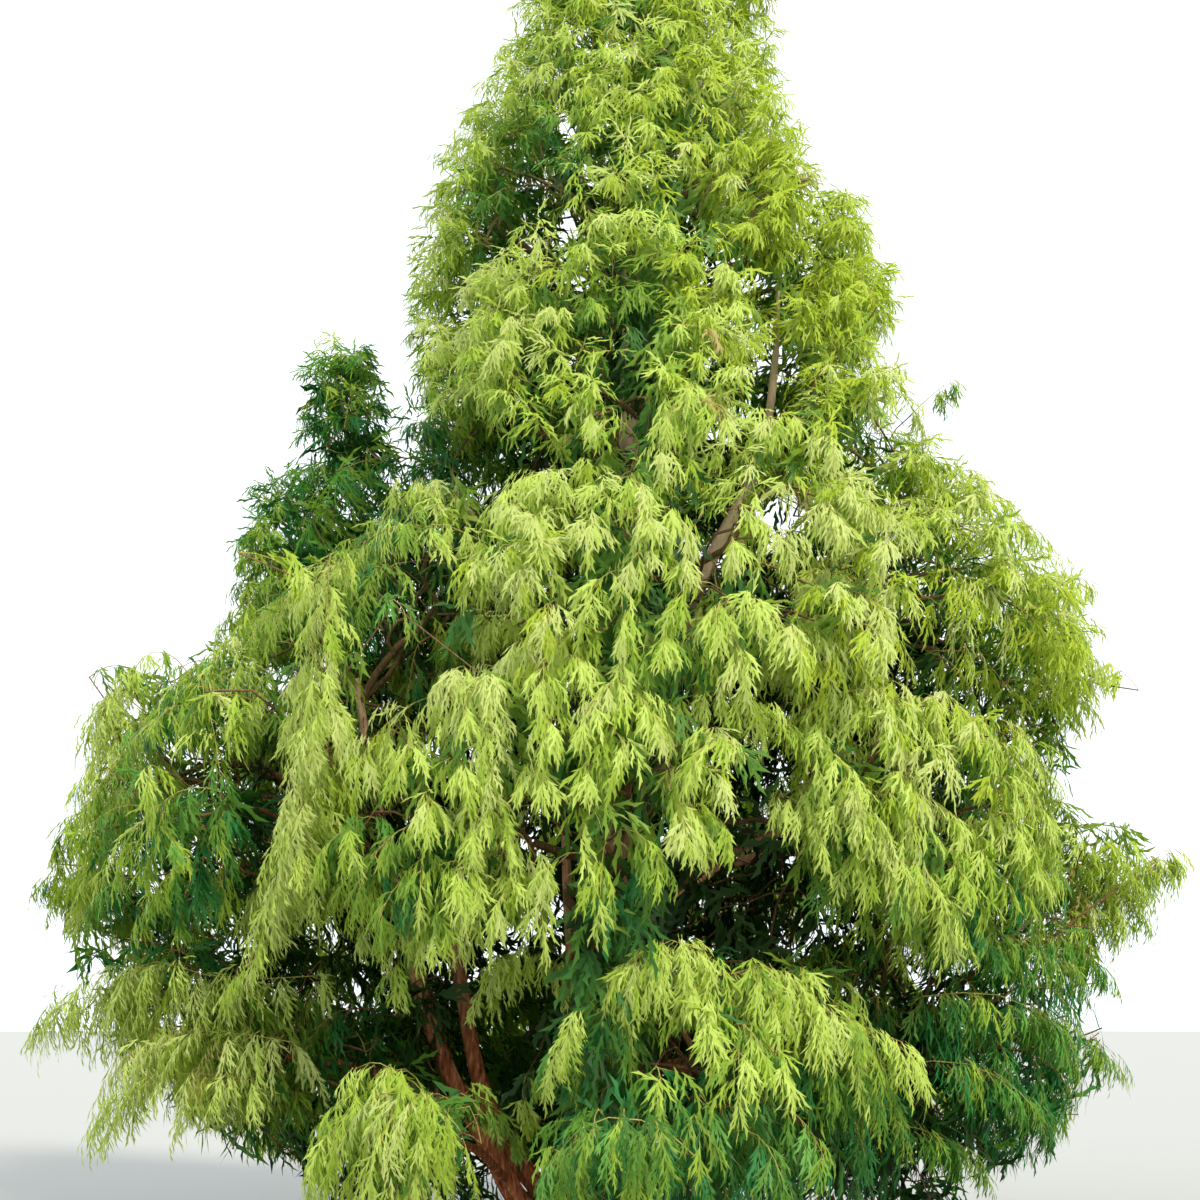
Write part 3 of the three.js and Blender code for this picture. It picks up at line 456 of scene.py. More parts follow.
def needle_material(name, colour, glow=0.3):
    m = bpy.data.materials.new(name)
    m.use_nodes = True
    nt = m.node_tree
    nt.nodes.clear()
    out = nt.nodes.new("ShaderNodeOutputMaterial")
    mix = nt.nodes.new("ShaderNodeMixShader")
    mix.inputs[0].default_value = glow
    p = nt.nodes.new("ShaderNodeBsdfPrincipled")
    p.inputs["Base Color"].default_value = colour
    p.inputs["Roughness"].default_value = 0.52
    p.inputs["Specular IOR Level"].default_value = 0.25
    t = nt.nodes.new("ShaderNodeBsdfTranslucent")
    t.inputs["Color"].default_value = tuple(min(1, c * k) for c, k in zip(colour[:3], (1.15, 1.2, 0.7))) + (1.0,)
    nt.links.new(p.outputs[0], mix.inputs[1])
    nt.links.new(t.outputs[0], mix.inputs[2])
    nt.links.new(mix.outputs[0], out.inputs[0])
    return m


def bark_material(name, dark, mid, light, grey, z0, z1, scale=1.0, bump=0.5):
    """Fibrous bark: long strips of dark, red-brown and orange, greyer and paler higher up."""
    m = bpy.data.materials.new(name)
    m.use_nodes = True
    nt = m.node_tree
    p = nt.nodes["Principled BSDF"]
    p.inputs["Roughness"].default_value = 0.85
    p.inputs["Specular IOR Level"].default_value = 0.2
    tc = nt.nodes.new("ShaderNodeTexCoord")
    mp = nt.nodes.new("ShaderNodeMapping")
    mp.inputs["Scale"].default_value = (42 * scale, 42 * scale, 4.5 * scale)
    n1 = nt.nodes.new("ShaderNodeTexNoise")
    n1.inputs["Scale"].default_value = 1.0
    n1.inputs["Detail"].default_value = 5
    n1.inputs["Roughness"].default_value = 0.6
    ramp = nt.nodes.new("ShaderNodeValToRGB")
    ramp.color_ramp.elements[0].position = 0.32
    ramp.color_ramp.elements[0].color = dark
    ramp.color_ramp.elements[1].position = 0.72
    ramp.color_ramp.elements[1].color = light
    e = ramp.color_ramp.elements.new(0.52)
    e.color = mid
    sep = nt.nodes.new("ShaderNodeSeparateXYZ")
    mr = nt.nodes.new("ShaderNodeMapRange")
    mr.inputs["From Min"].default_value = z0
    mr.inputs["From Max"].default_value = z1
    mixc = nt.nodes.new("ShaderNodeMix")
    mixc.data_type = "RGBA"
    mixc.inputs["B"].default_value = grey
    mul = nt.nodes.new("ShaderNodeMath")
    mul.operation = "MULTIPLY"
    mul.inputs[1].default_value = 0.66
    b = nt.nodes.new("ShaderNodeBump")
    b.inputs["Strength"].default_value = bump
    b.inputs["Distance"].default_value = 0.006
    L = nt.links.new
    L(tc.outputs["Object"], mp.inputs["Vector"])
    L(mp.outputs[0], n1.inputs["Vector"])
    L(n1.outputs["Fac"], ramp.inputs[0])
    L(tc.outputs["Object"], sep.inputs[0])
    L(sep.outputs["Z"], mr.inputs["Value"])
    L(mr.outputs[0], mul.inputs[0])
    L(mul.outputs[0], mixc.inputs["Factor"])
    L(ramp.outputs[0], mixc.inputs["A"])
    L(mixc.outputs["Result"], p.inputs["Base Color"])
    L(n1.outputs["Fac"], b.inputs["Height"])
    L(b.outputs[0], p.inputs["Normal"])
    return m


# The needle tints: partly the needles' own colour and partly painted light and shade. Inner, deep and green stand for
# shade, pale and straw for sunlight, cool and shade-leaf for the bluish green of shade, and yellow for warm sunlight;
# tan is the needles' own colour.
TINTS = [
    ("needles_straw", srgb(192, 202, 120)),
    ("needles_pale", srgb(188, 205, 100)),
    ("needles_lime", srgb(164, 188, 68)),
    ("needles_yellow", srgb(172, 190, 58)),
    ("needles_leaf", srgb(132, 163, 58)),
    ("needles_green", srgb(94, 138, 50)),
    ("needles_deep", srgb(64, 116, 44)),
    ("needles_cool", srgb(52, 124, 60)),
    ("needles_inner", srgb(38, 70, 24)),
    ("needles_tan", srgb(176, 162, 98)),
    ("needles_fresh", srgb(110, 164, 72)),
]
NEEDLES = [needle_material(n, c, 0.15 if n == "needles_inner" else 0.4) for n, c in TINTS]
STRAW, PALE, LIME, YELLOW, LEAF, GREEN, DEEP, COOL, INNER, TAN, SHADE_LEAF = range(11)
# from the darkest painted shade to the palest painted light, chosen by each spray's tone
RAMP = np.array([INNER, DEEP, GREEN, LEAF, LIME, PALE, STRAW])
STEPS = np.array([0.06, 0.22, 0.40, 0.58, 0.76, 0.98])

# The pale cream that the limbs turn higher up is partly their own greyer bark and partly a painted highlight of the sun
# on the upper limbs.
BARK = bark_material("bark_fibrous", srgb(78, 40, 26), srgb(168, 96, 60), srgb(228, 160, 116), srgb(226, 208, 172), 1.2, 4.8)
# The twigs are painted darker than the limbs: painted shade of the inside of the crown.
TWIG = bark_material("bark_twigs", srgb(66, 46, 30), srgb(108, 78, 50), srgb(150, 118, 82), srgb(140, 126, 92), 2.5, 8.0, 2.0, 0.2)
SHOOT = bark_material("bark_shoots", srgb(120, 112, 54), srgb(150, 142, 70), srgb(176, 160, 88), srgb(170, 164, 90), 2.5, 8.0, 2.0, 0.1)


# ---------------------------------------------------------------- camera, light and floor
cam_data = bpy.data.cameras.new("camera")
cam_data.sensor_width = 36.0
cam_data.lens = 54.0
cam_data.clip_end = 400
cam = bpy.data.objects.new("camera", cam_data)
cam.location = (0.1, -12.0, 1.6)
cam.rotation_euler = (math.pi / 2 + math.atan(400 / 1800), 0, 0)
bpy.context.scene.collection.objects.link(cam)
bpy.context.scene.camera = cam

scene = bpy.context.scene
scene.view_settings.view_transform = "Standard"
world = bpy.data.worlds.new("studio")
scene.world = world
world.use_nodes = True
bg = world.node_tree.nodes["Background"]
bg.inputs["Color"].default_value = (0.90, 0.95, 1.0, 1)
bg.inputs["Strength"].default_value = 1.46


def sun(name, toward, strength, colour, angle):
    d = bpy.data.lights.new(name, "SUN")
    d.energy = strength
    d.color = colour
    d.angle = math.radians(angle)
    o = bpy.data.objects.new(name, d)
    o.rotation_mode = "QUATERNION"
    o.rotation_quaternion = Vector(toward).to_track_quat("Z", "Y")
    scene.collection.objects.link(o)
    return o


sun("key", (0.55, -0.68, 0.78), 3.75, (1.0, 0.95, 0.84), 10)
sun("fill", (-0.8, -0.5, 0.5), 0.5, (0.85, 0.93, 1.0), 40)

ang = np.linspace(0, 2 * math.pi, 97)[:-1]
floor_co = np.vstack([[[0, 0, -0.004]], np.stack([90 * np.cos(ang), 90 * np.sin(ang), np.full(96, -0.004)], 1)])
floor_f = np.stack([np.zeros(96, int), 1 + np.arange(96), 1 + (np.arange(96) + 1) % 96], 1)
fm = bpy.data.materials.new("studio_floor")
fm.use_nodes = True
fm.node_tree.nodes["Principled BSDF"].inputs["Base Color"].default_value = (0.36, 0.36, 0.34, 1)
fm.node_tree.nodes["Principled BSDF"].inputs["Roughness"].default_value = 0.9
floor = mesh_object("studio_floor", floor_co, floor_f, [fm])


# ---------------------------------------------------------------- limbs
def limb_mesh(name, line, radius, sides, step, flared=False, seed=1, relief=0.006):
    """A tapering limb with bark relief, closed at both ends."""
    t = np.linspace(0, 1, 400)
    c = catmull(line, t)
    arc = np.concatenate([[0], np.cumsum(np.linalg.norm(np.diff(c, axis=0), axis=1))])
    stops = [0.0]
    while stops[-1] < arc[-1]:
        z = stops[-1]
        stops.append(z + (step if z < 3.2 else step * 3))
    stops = np.minimum(np.array(stops), arc[-1])
    ts = np.interp(stops, arc, t)
    c = catmull(line, ts)
    tan = unit(np.gradient(c, axis=0))
    if flared:
        tan[0] = (0, 0, 1)
    r = along(radius, ts)
    normal = np.array([1.0, 0, 0])
    rings = []
    a = np.arange(sides) * 2 * math.pi / sides
    for i in range(len(c)):
        normal = normal - tan[i] * (normal @ tan[i])
        normal = normal / np.linalg.norm(normal)
        bi = np.cross(tan[i], normal)
        rr = np.full(sides, r[i])
        if flared:
            fade = max(0.0, 1 - max(c[i, 2], 0) / FLARE_H) ** 2
            lobes = 0.55 + 0.45 * np.cos(5 * a + 0.6) + 0.15 * np.cos(3 * a + 2.0)
            rr = rr + (FLARE_R - FOOT_R) * fade * np.maximum(0.12, lobes)
        # long fibrous strips: ridges that run up the limb and waver
        q = np.stack([np.cos(a) * r[i] / 0.02 + seed * 7, np.sin(a) * r[i] / 0.02, np.full(sides, stops[i] * 2.2)], 1)
        ridge = 1 - 2 * np.abs(noise(q, seed)) + 0.5 * noise(q * np.array([2.3, 2.3, 3.0]), seed + 3)
        big = noise(np.stack([np.cos(a) * 1.6 + seed, np.sin(a) * 1.6, np.full(sides, stops[i] * 1.1)], 1), seed + 9)
        amp = relief * min(1.0, r[i] / 0.06)
        rr = rr + amp * ridge + 0.06 * r[i] * big
        rings.append(c[i] + normal * (rr * np.cos(a))[:, None] + bi * (rr * np.sin(a))[:, None])
    co = np.concatenate(rings)
    co[:, 2] = np.maximum(co[:, 2], 0.0)
    if flared:
        co[:sides, 2] = 0.0
    n = len(c)
    j, s = np.meshgrid(np.arange(n - 1), np.arange(sides), indexing="ij")
    base = j * sides
    s2 = (s + 1) % sides
    f = np.concatenate([
        np.stack([base + s, base + s2, base + sides + s2], -1).reshape(-1, 3),
        np.stack([base + s, base + sides + s2, base + sides + s], -1).reshape(-1, 3)])
    co = np.vstack([co, c[0], c[-1]])
    k = np.arange(sides)
    k2 = (k + 1) % sides
    f = np.vstack([f, np.stack([np.full(sides, len(co) - 2), k2, k], 1),
                   np.stack([np.full(sides, len(co) - 1), (n - 1) * sides + k, (n - 1) * sides + k2], 1)])
    return co, f


limb_count = 0
for i, (name, (line, radius)) in enumerate(STEMS.items()):
    sides = 56 if name == "trunk" else 30
    co, f = limb_mesh(name, line, radius, sides, 0.034, name == "trunk", i + 1, 0.008 if name == "trunk" else 0.006)
    o = mesh_object(name + "_bark", co, f, [BARK], smooth=True)
    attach(o, "root")
    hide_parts(name)
    limb_count += len(f)

SIDES = ["right", "back_right", "back", "back_left", "left", "front_left", "front", "front_right"]
MASS = {}
for name, (at, az, half, tilt) in SPECIAL.items():
    MASS[name] = (np.array(at, float), az, half, tilt)
for tier, (n, phase, z, reach, inner, tilt) in TIERS.items():
    axis = stem_at_height("trunk", z)
    for i in range(n):
        az = phase + 360 * i / n
        ca, sa = math.cos(math.radians(az)), math.sin(math.radians(az))
        run = reach[0 if ca >= 0 else 2] * ca * ca + reach[1 if sa >= 0 else 3] * sa * sa
        run *= 1 + 0.05 * (hash11(i, z) - 0.5)
        mid, half = (run + inner) / 2, (run - inner) / 2
        side = SIDES[int(math.floor(((az % 360) / 45) + 0.5)) % 8]
        at = np.array([axis[0] + mid * ca, axis[1] + mid * sa, z + half * math.sin(math.radians(tilt)) * 0.5 + 0.12 * (hash11(i + 3, z) - 0.5)])
        MASS[f"{tier}_{side}"] = (at, az, half, tilt)

BOUGH_END = {}
for i, (name, stem, z, to, r) in enumerate(BOUGHS):
    at, az, half, tilt = MASS[to]
    a, b = math.radians(az), math.radians(tilt)
    out = np.array([math.cos(a) * math.cos(b), math.sin(a) * math.cos(b), math.sin(b)])
    start = stem_at_height(stem, z)
    end = at - 0.45 * half * out
    span = np.linalg.norm(end - start)
    line = [start * (1 - t) + end * t + np.array([0, 0, lift * span]) for t, lift in ((0, 0), (0.35, 0.07), (0.7, 0.06), (1, 0))]
    co, f = limb_mesh(name, line, [r, r * 0.86, r * 0.72, r * 0.6], 13, 0.055, False, 20 + i, 0.004)
    o = mesh_object(name + "_bark", co, f, [BARK], smooth=True)
    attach(o, "root")
    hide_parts(name)
    limb_count += len(f)
    BOUGH_END[to] = (end, r * 0.6, out)


# ---------------------------------------------------------------- where the foliage solids are
class Mass:
    def __init__(self, node):
        o = NODES[node]
        me = o.data
        co = np.empty(len(me.vertices) * 3)
        me.vertices.foreach_get("co", co)
        self.co = co.reshape(-1, 3)
        me.calc_loop_triangles()
        tri = np.empty(len(me.loop_triangles) * 3, np.int32)
        me.loop_triangles.foreach_get("vertices", tri)
        self.tri = tri.reshape(-1, 3)
        self.name = node[len("foliage_"):]
        a, b, c = (self.co[self.tri[:, k]] for k in range(3))
        cr = np.cross(b - a, c - a)
        self.area = np.linalg.norm(cr, axis=1) / 2
        self.normal = unit(cr)
        vol = np.einsum("ij,ij->i", a, np.cross(b, c)) / 6
        self.centre = ((a + b + c) / 4 * vol[:, None]).sum(0) / vol.sum()
        self.volume = vol.sum()

    def sample(self, n, rng):
        k = rng.choice(len(self.tri), n, p=self.area / self.area.sum())
        u, v = rng.random(n), rng.random(n)
        flip = u + v > 1
        u, v = np.where(flip, 1 - u, u), np.where(flip, 1 - v, v)
        a, b, c = (self.co[self.tri[k, j]] for j in range(3))
        return a + (b - a) * u[:, None] + (c - a) * v[:, None], self.normal[k]


masses = [Mass(n) for n in sorted(NODES) if n.startswith("foliage_")]
verts, polys = [], []
for m in masses:
    base = len(verts)
    verts.extend(map(tuple, m.co))
    polys.extend(tuple(int(q) + base for q in t) for t in m.tri)
ALL = BVHTree.FromPolygons(verts, polys, all_triangles=True)


def openness(points, normals, rng, reach=1.4, rays=9):
    """Share of rays out of each point that leave the crown."""
    n = len(points)
    free = np.zeros(n)
    for j in range(rays):
        d = normals if j == 0 else unit(normals * 0.75 + unit(rng.normal(size=(n, 3))) + UP * 0.1)
        ok = np.einsum("ij,ij->i", d, normals) > 0.05
        d = np.where(ok[:, None], d, normals)
        for i in range(n):
            hit = ALL.ray_cast(Vector(points[i] + normals[i] * 0.02), Vector(d[i]), reach)
            free[i] += hit[0] is None
    return free / rays


def leader_at(z):
    return np.stack([np.interp(z, [q[2] for q in STEMS["trunk"][0]], [q[0] for q in STEMS["trunk"][0]]),
                     np.interp(z, [q[2] for q in STEMS["trunk"][0]], [q[1] for q in STEMS["trunk"][0]])], -1)


def window_share(p, seed=7):
    """How much of the foliage at points p is left out of the open places."""
    share = np.zeros(p.shape[:-1])
    wobble = 0.3 * noise(p * 5.0, seed)
    for target, half_w, half_h, lean, amount, behind in WINDOWS:
        t = np.array(target)
        dist = np.linalg.norm(VIEWPOINT - t)
        line = (VIEWPOINT - t) / dist
        right = unit(np.cross(line, UP)) * -1
        up = np.cross(line, right)
        up = up if up[2] > 0 else -up
        a = math.radians(lean)
        d = p - t
        near = d @ line
        scale = 1 - near / dist
        x, y = d @ right / scale, d @ up / scale
        u, v = x * math.cos(a) - y * math.sin(a), x * math.sin(a) + y * math.cos(a)
        inside = ((u / half_w) ** 2 + (v / half_h) ** 2 + wobble < 1) & (near > -behind) & (near < 4.5)
        share = np.where(inside, np.maximum(share, amount), share)
    return share


def in_sky_gap(p, grow_by=1.0):
    at, size, rise, turn, slant = SKY_GAP
    d = p - np.array(at)
    a = math.radians(turn)
    x = d[..., 0] * math.cos(a) - d[..., 1] * math.sin(a)
    y = d[..., 0] * math.sin(a) + d[..., 1] * math.cos(a)
    b = math.radians(-rise)
    y2 = y * math.cos(b) - d[..., 2] * math.sin(b)
    z2 = y * math.sin(b) + d[..., 2] * math.cos(b)
    f = math.radians(slant)
    x, z2 = x * math.cos(f) + z2 * math.sin(f), z2 * math.cos(f) - x * math.sin(f)
    return (x / size[1]) ** 2 + (y2 / (size[0] * 1.4)) ** 2 + (z2 / size[2]) ** 2 + 0.75 * noise(p * 9, 21) < grow_by


def round_gap(p):
    """Points moved out to the rim of the open place."""
    at, size, rise, turn, slant = SKY_GAP
    y = p[..., 1] - at[1]
    ax, az = at[0] + math.tan(math.radians(turn)) * y, at[2] + math.tan(math.radians(rise)) * y
    dx, dz = p[..., 0] - ax, p[..., 2] - az
    f = math.radians(slant)
    rho = np.sqrt(((dx * math.cos(f) + dz * math.sin(f)) / size[1]) ** 2 + ((dz * math.cos(f) - dx * math.sin(f)) / size[2]) ** 2) + 1e-4
    k = np.maximum(1.0, (0.85 + 0.3 * noise(p * 6, 23)) / rho)
    return np.stack([ax + dx * k, p[..., 1], az + dz * k], -1)


def light_of(p):
    """Painted light and shade by place: how much lighter or darker, and cooler (bluish shade) or warmer (yellow
    sunlight), the sprays there are painted.
    """
    tone, cool = np.zeros(len(p)), np.zeros(len(p))
    for middle, half, shift, hue, _ in REGIONS:
        d = np.sum(((p - np.array(middle)) / np.array(half)) ** 2, axis=1)
        w = np.exp(-d ** 1.6)
        tone = tone + shift * w
        cool = cool + hue * w
    return tone, cool


# ---------------------------------------------------------------- plume sites
def hull_at(p):
    """Reach of the crown from the leader at points p, and how far out they are."""
    rows = np.array(HULL)[::-1]
    right, back, left, front = (np.interp(p[:, 2], rows[:, 0], rows[:, k]) for k in (1, 2, 3, 4))
    d = p[:, :2] - leader_at(p[:, 2])
    far = np.linalg.norm(d, axis=1)
    c, s = d[:, 0] / np.maximum(far, 1e-6), d[:, 1] / np.maximum(far, 1e-6)
    return np.where(c >= 0, right, left) * c * c + np.where(s >= 0, back, front) * s * s, far


def beyond_reach(p, slack):
    """Points that stand outside the crown as the front view sees it."""
    k = 12.0 / (p[..., 1] + 12.0)
    x, z = 0.1 + (p[..., 0] - 0.1) * k, 1.6 + (p[..., 2] - 1.6) * k
    r = np.array(REACH)
    edge = slack + 0.05 * noise(p * 4.0, 31)
    return (x < np.interp(z, r[:, 0], r[:, 1]) - edge) | (x > np.interp(z, r[:, 0], r[:, 2]) + edge)


SPACING = 0.31
names = [m.name for m in masses]
IS_TIER = np.array([m.name.split("_")[0] in TIERS for m in masses])
IS_LOBE = np.array([m.name.startswith("lobe") for m in masses])
sites, site_n, site_mass = [], [], []
for k, m in enumerate(masses):
    n = int(m.area.sum() * 78)
    p, nrm = m.sample(n, RNG)
    sites.append(p)
    site_n.append(nrm)
    site_mass.append(np.full(n, k))
sites, site_n, site_mass = np.concatenate(sites), np.concatenate(site_n), np.concatenate(site_mass)
site_open = openness(sites, site_n, RNG, rays=5)
keep = site_open > 0.3
sites, site_n, site_mass, site_open = sites[keep], site_n[keep], site_mass[keep], site_open[keep]
# close the tiers up towards one rounded, lumpy crown
hull, far = hull_at(sites)
hull = hull * (1 + 0.05 * noise(sites * 0.9, 14)) + 0.09 * noise(sites * 1.9, 15)
share = np.where(far > hull, 0.85, 0.62 - 0.4 * np.clip(site_n[:, 2], 0, 1))
shift = np.where(IS_TIER[site_mass] & (far > 0.25), (hull - far) * share, 0.0)
shift = np.clip(shift, -0.5, 0.7)
d = sites[:, :2] - leader_at(sites[:, 2])
sites[:, :2] += d / np.maximum(far, 0.05)[:, None] * shift[:, None]
keep = (RNG.random(len(sites)) > window_share(sites)) & (IS_LOBE[site_mass] | ~beyond_reach(sites, 0.04))
sites, site_n, site_mass, site_open = sites[keep], site_n[keep], site_mass[keep], site_open[keep]
BIG = 1 + 0.26 * noise(sites * 1.3, 51) + 0.14 * RNG.normal(size=len(sites))
BIG = np.clip(BIG, 0.66, 1.4) * np.interp(sites[:, 2], [1.0, 5.0, 8.3, 10.5], [1.04, 0.98, 0.86, 0.72])
BIG = np.where(IS_LOBE[site_mass], 0.78, BIG)
order = np.argsort(-(site_open + 0.6 * RNG.random(len(sites))))
chosen = []
grid = {}
for i in order:
    cell = tuple((sites[i] // SPACING).astype(int))
    near = [j for a in (-1, 0, 1) for b in (-1, 0, 1) for c in (-1, 0, 1) for j in grid.get((cell[0] + a, cell[1] + b, cell[2] + c), ())]
    r = min(SPACING * BIG[i] * (0.84 + 0.25 * (1 - site_open[i]) + (0.05 if sites[i][1] > 0.8 else 0.0)), SPACING)
    if all(np.sum((sites[j] - sites[i]) ** 2) > r * r for j in near):
        chosen.append(i)
        grid.setdefault(cell, []).append(i)
chosen = np.array(chosen)
P, N, MI, OP, BIG = sites[chosen], site_n[chosen], site_mass[chosen], site_open[chosen], BIG[chosen]

# Heading of each plume: outwards and a little up. Low in the crown the plumes weep; higher up
# they are rounder tufts that stand more upright.
TUFT = np.clip((P[:, 2] - 3.5) / 1.8 + 0.45 * noise(P * 1.7, 61) + 0.26 * RNG.normal(size=len(P)), 0, 1)
radial = np.zeros_like(P)
radial[:, :2] = P[:, :2] - leader_at(P[:, 2])
for k, m in enumerate(masses):
    if m.name.startswith("lobe") or m.name.startswith("column"):
        sel = MI == k
        radial[sel, :2] = P[sel, :2] - m.centre[:2]
radial = unit(radial)
flat_n = N * np.array([1, 1, 0.35])
lift = np.clip(0.45 + 0.5 * N[:, 2], -0.05, 0.95) + TUFT * 0.35
H = unit(0.75 * radial + 0.50 * unit(flat_n) + lift[:, None] * UP + 0.48 * RNG.normal(size=P.shape))
LEN = (0.35 + 0.14 * RNG.random(len(P))) * BIG
PULL = (1.3 + 0.8 * RNG.random(len(P))) * (1 - TUFT) + (0.35 + 0.6 * RNG.random(len(P))) * TUFT + 0.4 * (P[:, 2] < 2.2)
push = np.zeros(len(P))
for middle, half, _, _, inward in REGIONS:
    if inward:
        push += inward * np.exp(-np.sum(((P - np.array(middle)) / np.array(half)) ** 2, axis=1) ** 1.6)
swell = 0.05 * noise(P * 3.1, 6) - 0.155 * BIG - push
SEG = 5
spines = grow(np.zeros_like(P), H, LEN, PULL, SEG, 1.25)
spines = spines + (P + unit(0.6 * N + 0.6 * radial) * swell[:, None] - spines[:, SEG] + UP * 0.04)[:, None]
spines = round_gap(spines)
n_plain = len(spines)
BIG = np.append(BIG, np.ones(len(GARLANDS)))
TUFT = np.append(TUFT, np.zeros(len(GARLANDS)))

g_size = []
for owner, line, fringe, tone in GARLANDS:
    path = catmull(line, np.linspace(0, 1, SEG + 1))
    spines = np.concatenate([spines, path[None]])
    MI = np.append(MI, names.index(owner))
    OP = np.append(OP, 1.0)
    g_size.append(np.sum(np.linalg.norm(np.diff(path, axis=0), axis=1)))
print("plumes", n_plain, "of", len(sites), "garlands", len(GARLANDS))


# ---------------------------------------------------------------- branch trees inside the masses
def spanning(root, nodes, balance=0.45):
    """Join nodes to a tree from root, weighing new length against the way back to the root."""
    n = len(nodes)
    pts = np.vstack([root, nodes])
    parent = np.full(n + 1, -1)
    path = np.zeros(n + 1)
    cost = np.linalg.norm(nodes - root, axis=1)
    best = np.zeros(n, int)
    todo = np.ones(n, bool)
    for _ in range(n):
        j = int(np.argmin(np.where(todo, cost, 1e9)))
        todo[j] = False
        parent[j + 1] = best[j]
        path[j + 1] = path[best[j]] + np.linalg.norm(pts[j + 1] - pts[best[j]])
        c = np.linalg.norm(nodes - pts[j + 1], axis=1) + balance * path[j + 1]
        better = todo & (c < cost)
        cost[better] = c[better]
        best[better] = j + 1
    return pts, parent


# Branch ends over the whole crown, close to its two middle planes, that shut it against the light.
gx, gz = np.meshgrid(np.arange(-3.6, 3.8, 0.19), np.arange(0.45, 9.9, 0.19))
BACKING = np.stack([gx.ravel(), np.zeros(gx.size), gz.ravel()], 1)
BACKING += RNG.uniform(-0.08, 0.08, BACKING.shape)
edge = np.array(REACH)
mid_x = np.interp(BACKING[:, 2], edge[:, 0], (edge[:, 1] + edge[:, 2]) / 2)
half_x = np.interp(BACKING[:, 2], edge[:, 0], (edge[:, 2] - edge[:, 1]) / 2)
BACKING[:, 1] = 0.55 * (1 - ((BACKING[:, 0] - mid_x) / half_x) ** 2) - 0.1 + 0.12 * RNG.normal(size=len(BACKING))
gy, gz = np.meshgrid(np.arange(-2.4, 2.7, 0.25), np.arange(0.8, 9.6, 0.25))
SIDE = np.stack([leader_at(gz.ravel())[:, 0], gy.ravel(), gz.ravel()], 1)
SIDE += RNG.uniform(-0.1, 0.1, SIDE.shape)
hull, far = hull_at(SIDE)
BACKING = np.vstack([BACKING, SIDE[(far < hull - 0.35) & (np.abs(SIDE[:, 1]) > 0.7)]])
BACKING = BACKING[~beyond_reach(BACKING, -0.26) & (window_share(BACKING) < 0.3) & ~in_sky_gap(BACKING, 3.0)]
centres = np.array([m.centre for m in masses])
reach_of = np.linalg.norm((BACKING[:, None] - centres[None]) * np.array([1, 0.6, 1.5]), axis=2) + np.where(IS_TIER | np.array([n.startswith("skirt") for n in names]), 0, 9)
BACKING_MASS = np.argmin(reach_of, axis=1)

